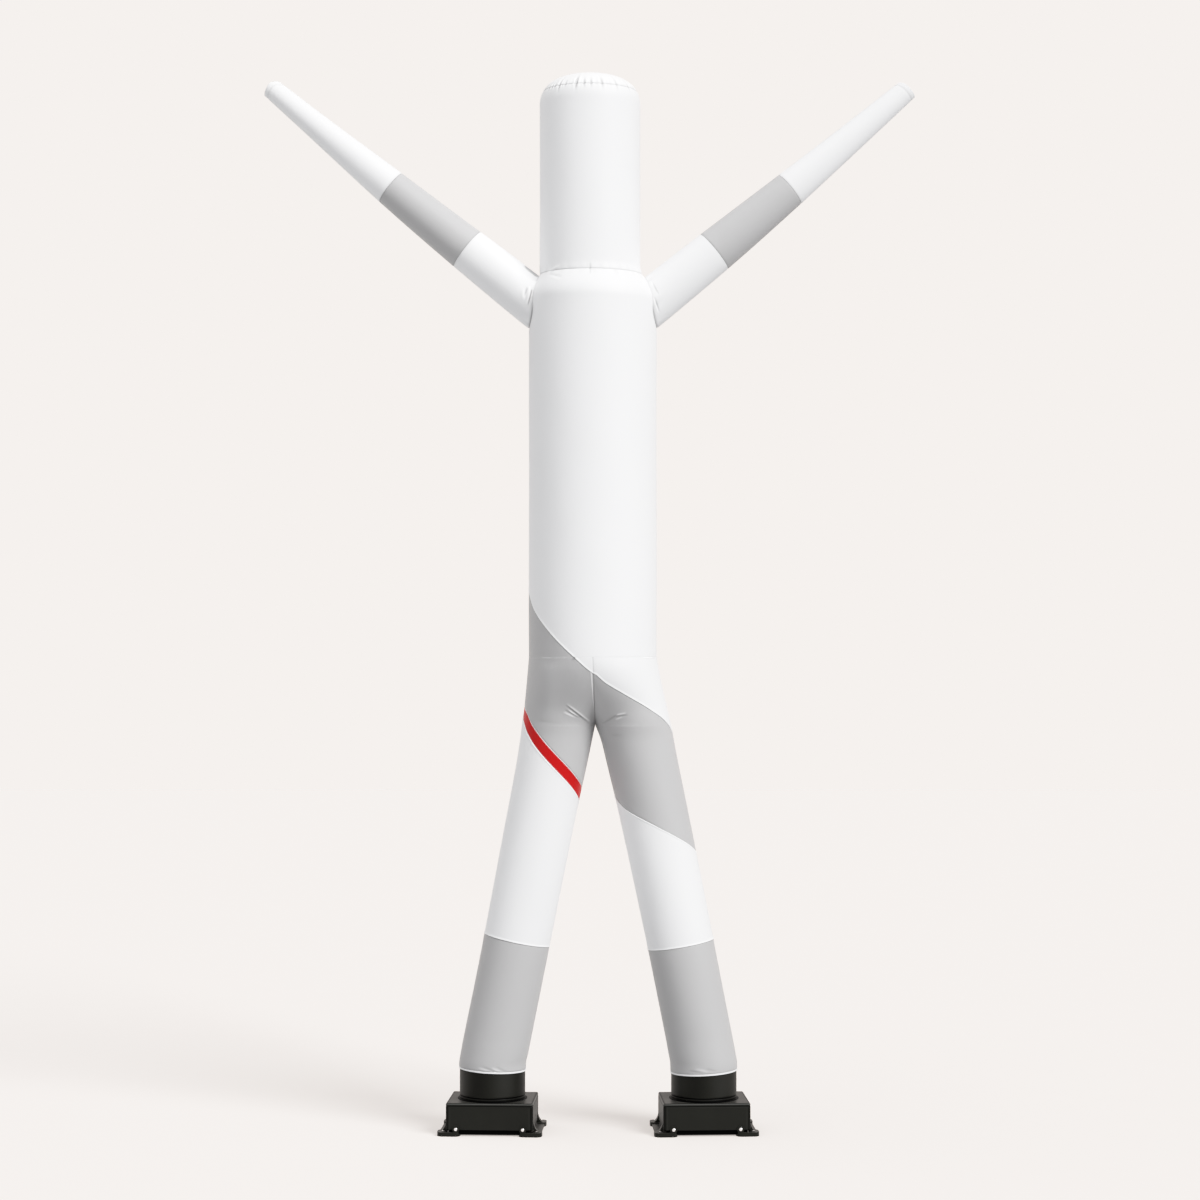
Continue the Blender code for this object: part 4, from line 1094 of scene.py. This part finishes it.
def build_blower(side, x, yaw):
    """Finer skins over an outlet and a housing, which carry their painted highlights, sheen and
    shade.
    """
    angles = np.linspace(0, TURN, OUTLET_SIDES + 1)
    rings = [[(r * math.cos(a), r * math.sin(a), z) for a in angles] for r, z, _ in OUTLET_PROFILE]
    # Painted sheen: paler and darker streaks round the collar that stand for reflections.
    sheen = np.cos(SHEEN_TURNS * (angles - SHEEN_ANGLE))
    sheen = np.where(sheen > 0, SHEEN_LIGHT, SHEEN_DARK) * sheen
    ring_painted_tones = [painted_tone + (sheen if z > SHEEN_FROM_Z else 0 * sheen) for _, z, painted_tone in OUTLET_PROFILE]
    rows, row_painted_tones = zip(*(housing_row(*row) for row in HOUSING_PROFILE))
    for form, grid, painted_tone in (("outlet", rings, ring_painted_tones), ("housing", rows, row_painted_tones)):
        node = f"blower_{side}_{form}"
        points, painted_light = placed(np.array(grid), x, yaw), {"painted_light": np.array(painted_tone)}
        stands_for(grid_object("skin_" + node, points, True, {}, painted_light), node, black_plastic)


build_blower("left", x=-0.4612, yaw=-TOE_OUT)
build_blower("right", x=0.54, yaw=TOE_OUT)
for node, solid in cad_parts.items():
    if "_base_" in node or "_screw" in node:
        look = tab_screw_steel if "_tab_" in node else ear_screw_steel
        for material_slot in solid.material_slots:
            material_slot.material = black_plastic if "_base_" in node else look

# A plain floor that glows a little, so that its shadows stay pale. A soft light hangs high on the
# left, a narrower one stands low at the front left, the key shines from the front right, a weaker
# light comes up from the floor, and the backdrop has the floor's tone.
FLOOR_SIZE = 60.0
FLOOR_GLOW = (0.416, 0.384, 0.363, 1.0)
FLOOR_COLOURS = ((0.546, 0.504, 0.476), (0.554, 0.511, 0.483))
FLOOR_GRAIN, FLOOR_ROUGHNESS = (3.0, 3.0), (0.85, 0.95)
BACKDROP = (1.191, 1.099, 1.038)
LIGHT_COLOUR, FROM_BELOW = (0.985, 0.99, 1.0, 1.0), 0.641
# direction, how narrow, strength
SOFT_LIGHTS = (((-0.292, 0.0, 0.956), 12, 2.79), ((-0.581, -0.797, 0.162), 40, 1.83))
KEY_ENERGY = 3.7
# Degrees: the key's size, and its place from overhead and from the front.
KEY_ANGLE, KEY_FROM_TOP, KEY_FROM_FRONT = 30, 54.0, 47.5

bpy.ops.mesh.primitive_plane_add(size=FLOOR_SIZE)
floor = bpy.context.object
floor.name = "studio_floor"
floor_look = Look(
    "pale_floor", Specular_IOR_Level=0.0, Emission_Color=FLOOR_GLOW, Emission_Strength=1.0
)
grain = floor_look.noise(floor_look.node("TexCoord", output=3), *FLOOR_GRAIN)
floor_look.use(
    Base_Color=floor_look.mixed(grain, *FLOOR_COLOURS),
    Roughness=floor_look.between(grain, *FLOOR_ROUGHNESS),
)
floor.data.materials.append(floor_look.block)
floor.visible_shadow = False
floor.visible_diffuse = False  # the room's own light from below stands for it

room = Look("soft_room", bpy.data.worlds)
way = room.node("TexCoord")
strength = room.times(room.math("LESS_THAN", room.axis(way, 2), 0.0), FROM_BELOW)
for light_way, narrowness, power in SOFT_LIGHTS:
    toward = room.node("VectorMath", (way, light_way), output=1, operation="DOT_PRODUCT")
    half = room.math("MULTIPLY_ADD", toward, 0.5, 0.5, clamp=True)
    strength = room.math("MULTIPLY_ADD", room.math("POWER", half, narrowness), power, strength)
light = room.node("Background", (LIGHT_COLOUR, strength))
backdrop = room.node("Background", ((*BACKDROP, 1.0), 1.0))
rays = room.node("LightPath").node.outputs
seen = room.math("MAXIMUM", rays["Is Camera Ray"], rays["Is Glossy Ray"])
shown = room.node("MixShader", (seen, light, backdrop))
room.tree.links.new(shown, room.tree.nodes["World Output"].inputs["Surface"])
bpy.context.scene.world = room.block

key = added("key", bpy.data.lights.new("key", "SUN"))
key.data.energy = KEY_ENERGY
key.data.angle = math.radians(KEY_ANGLE)
key.rotation_euler = (math.radians(KEY_FROM_TOP), 0, math.radians(KEY_FROM_FRONT))

# A level camera in front, its frame moved up a little.
CAMERA_PLACE, CAMERA_LENS, CAMERA_SENSOR, CAMERA_SHIFT = (0.048, -12.324, 2.2756), 78, 36, 50 / 1200
camera = added("camera", bpy.data.cameras.new("camera"))
camera.location = CAMERA_PLACE
camera.rotation_euler = (math.pi / 2, 0, 0)
camera.data.lens = CAMERA_LENS
camera.data.sensor_width = CAMERA_SENSOR
camera.data.shift_y = CAMERA_SHIFT
bpy.context.scene.camera = camera

# A soft shoulder, as on film, so that lit white cloth keeps its shading.
SHOULDER, SHOULDER_REACH, BRIGHTEST = 0.477, 0.66, 2.6
TONES = (0.239, 0.477, 0.57, 0.7, 0.85, 1.0, 1.2, 1.4, 1.7, 2.1)
view = bpy.context.scene.view_settings
view.view_transform = "Standard"
view.use_curve_mapping = True
view.curve_mapping.white_level = (BRIGHTEST,) * 3
tone = view.curve_mapping.curves[3]
for light in TONES:
    eased_light = SHOULDER + SHOULDER_REACH * (1 - math.exp((SHOULDER - light) / SHOULDER_REACH))
    tone.points.new(light / BRIGHTEST, light if light <= SHOULDER else eased_light)
view.curve_mapping.update()
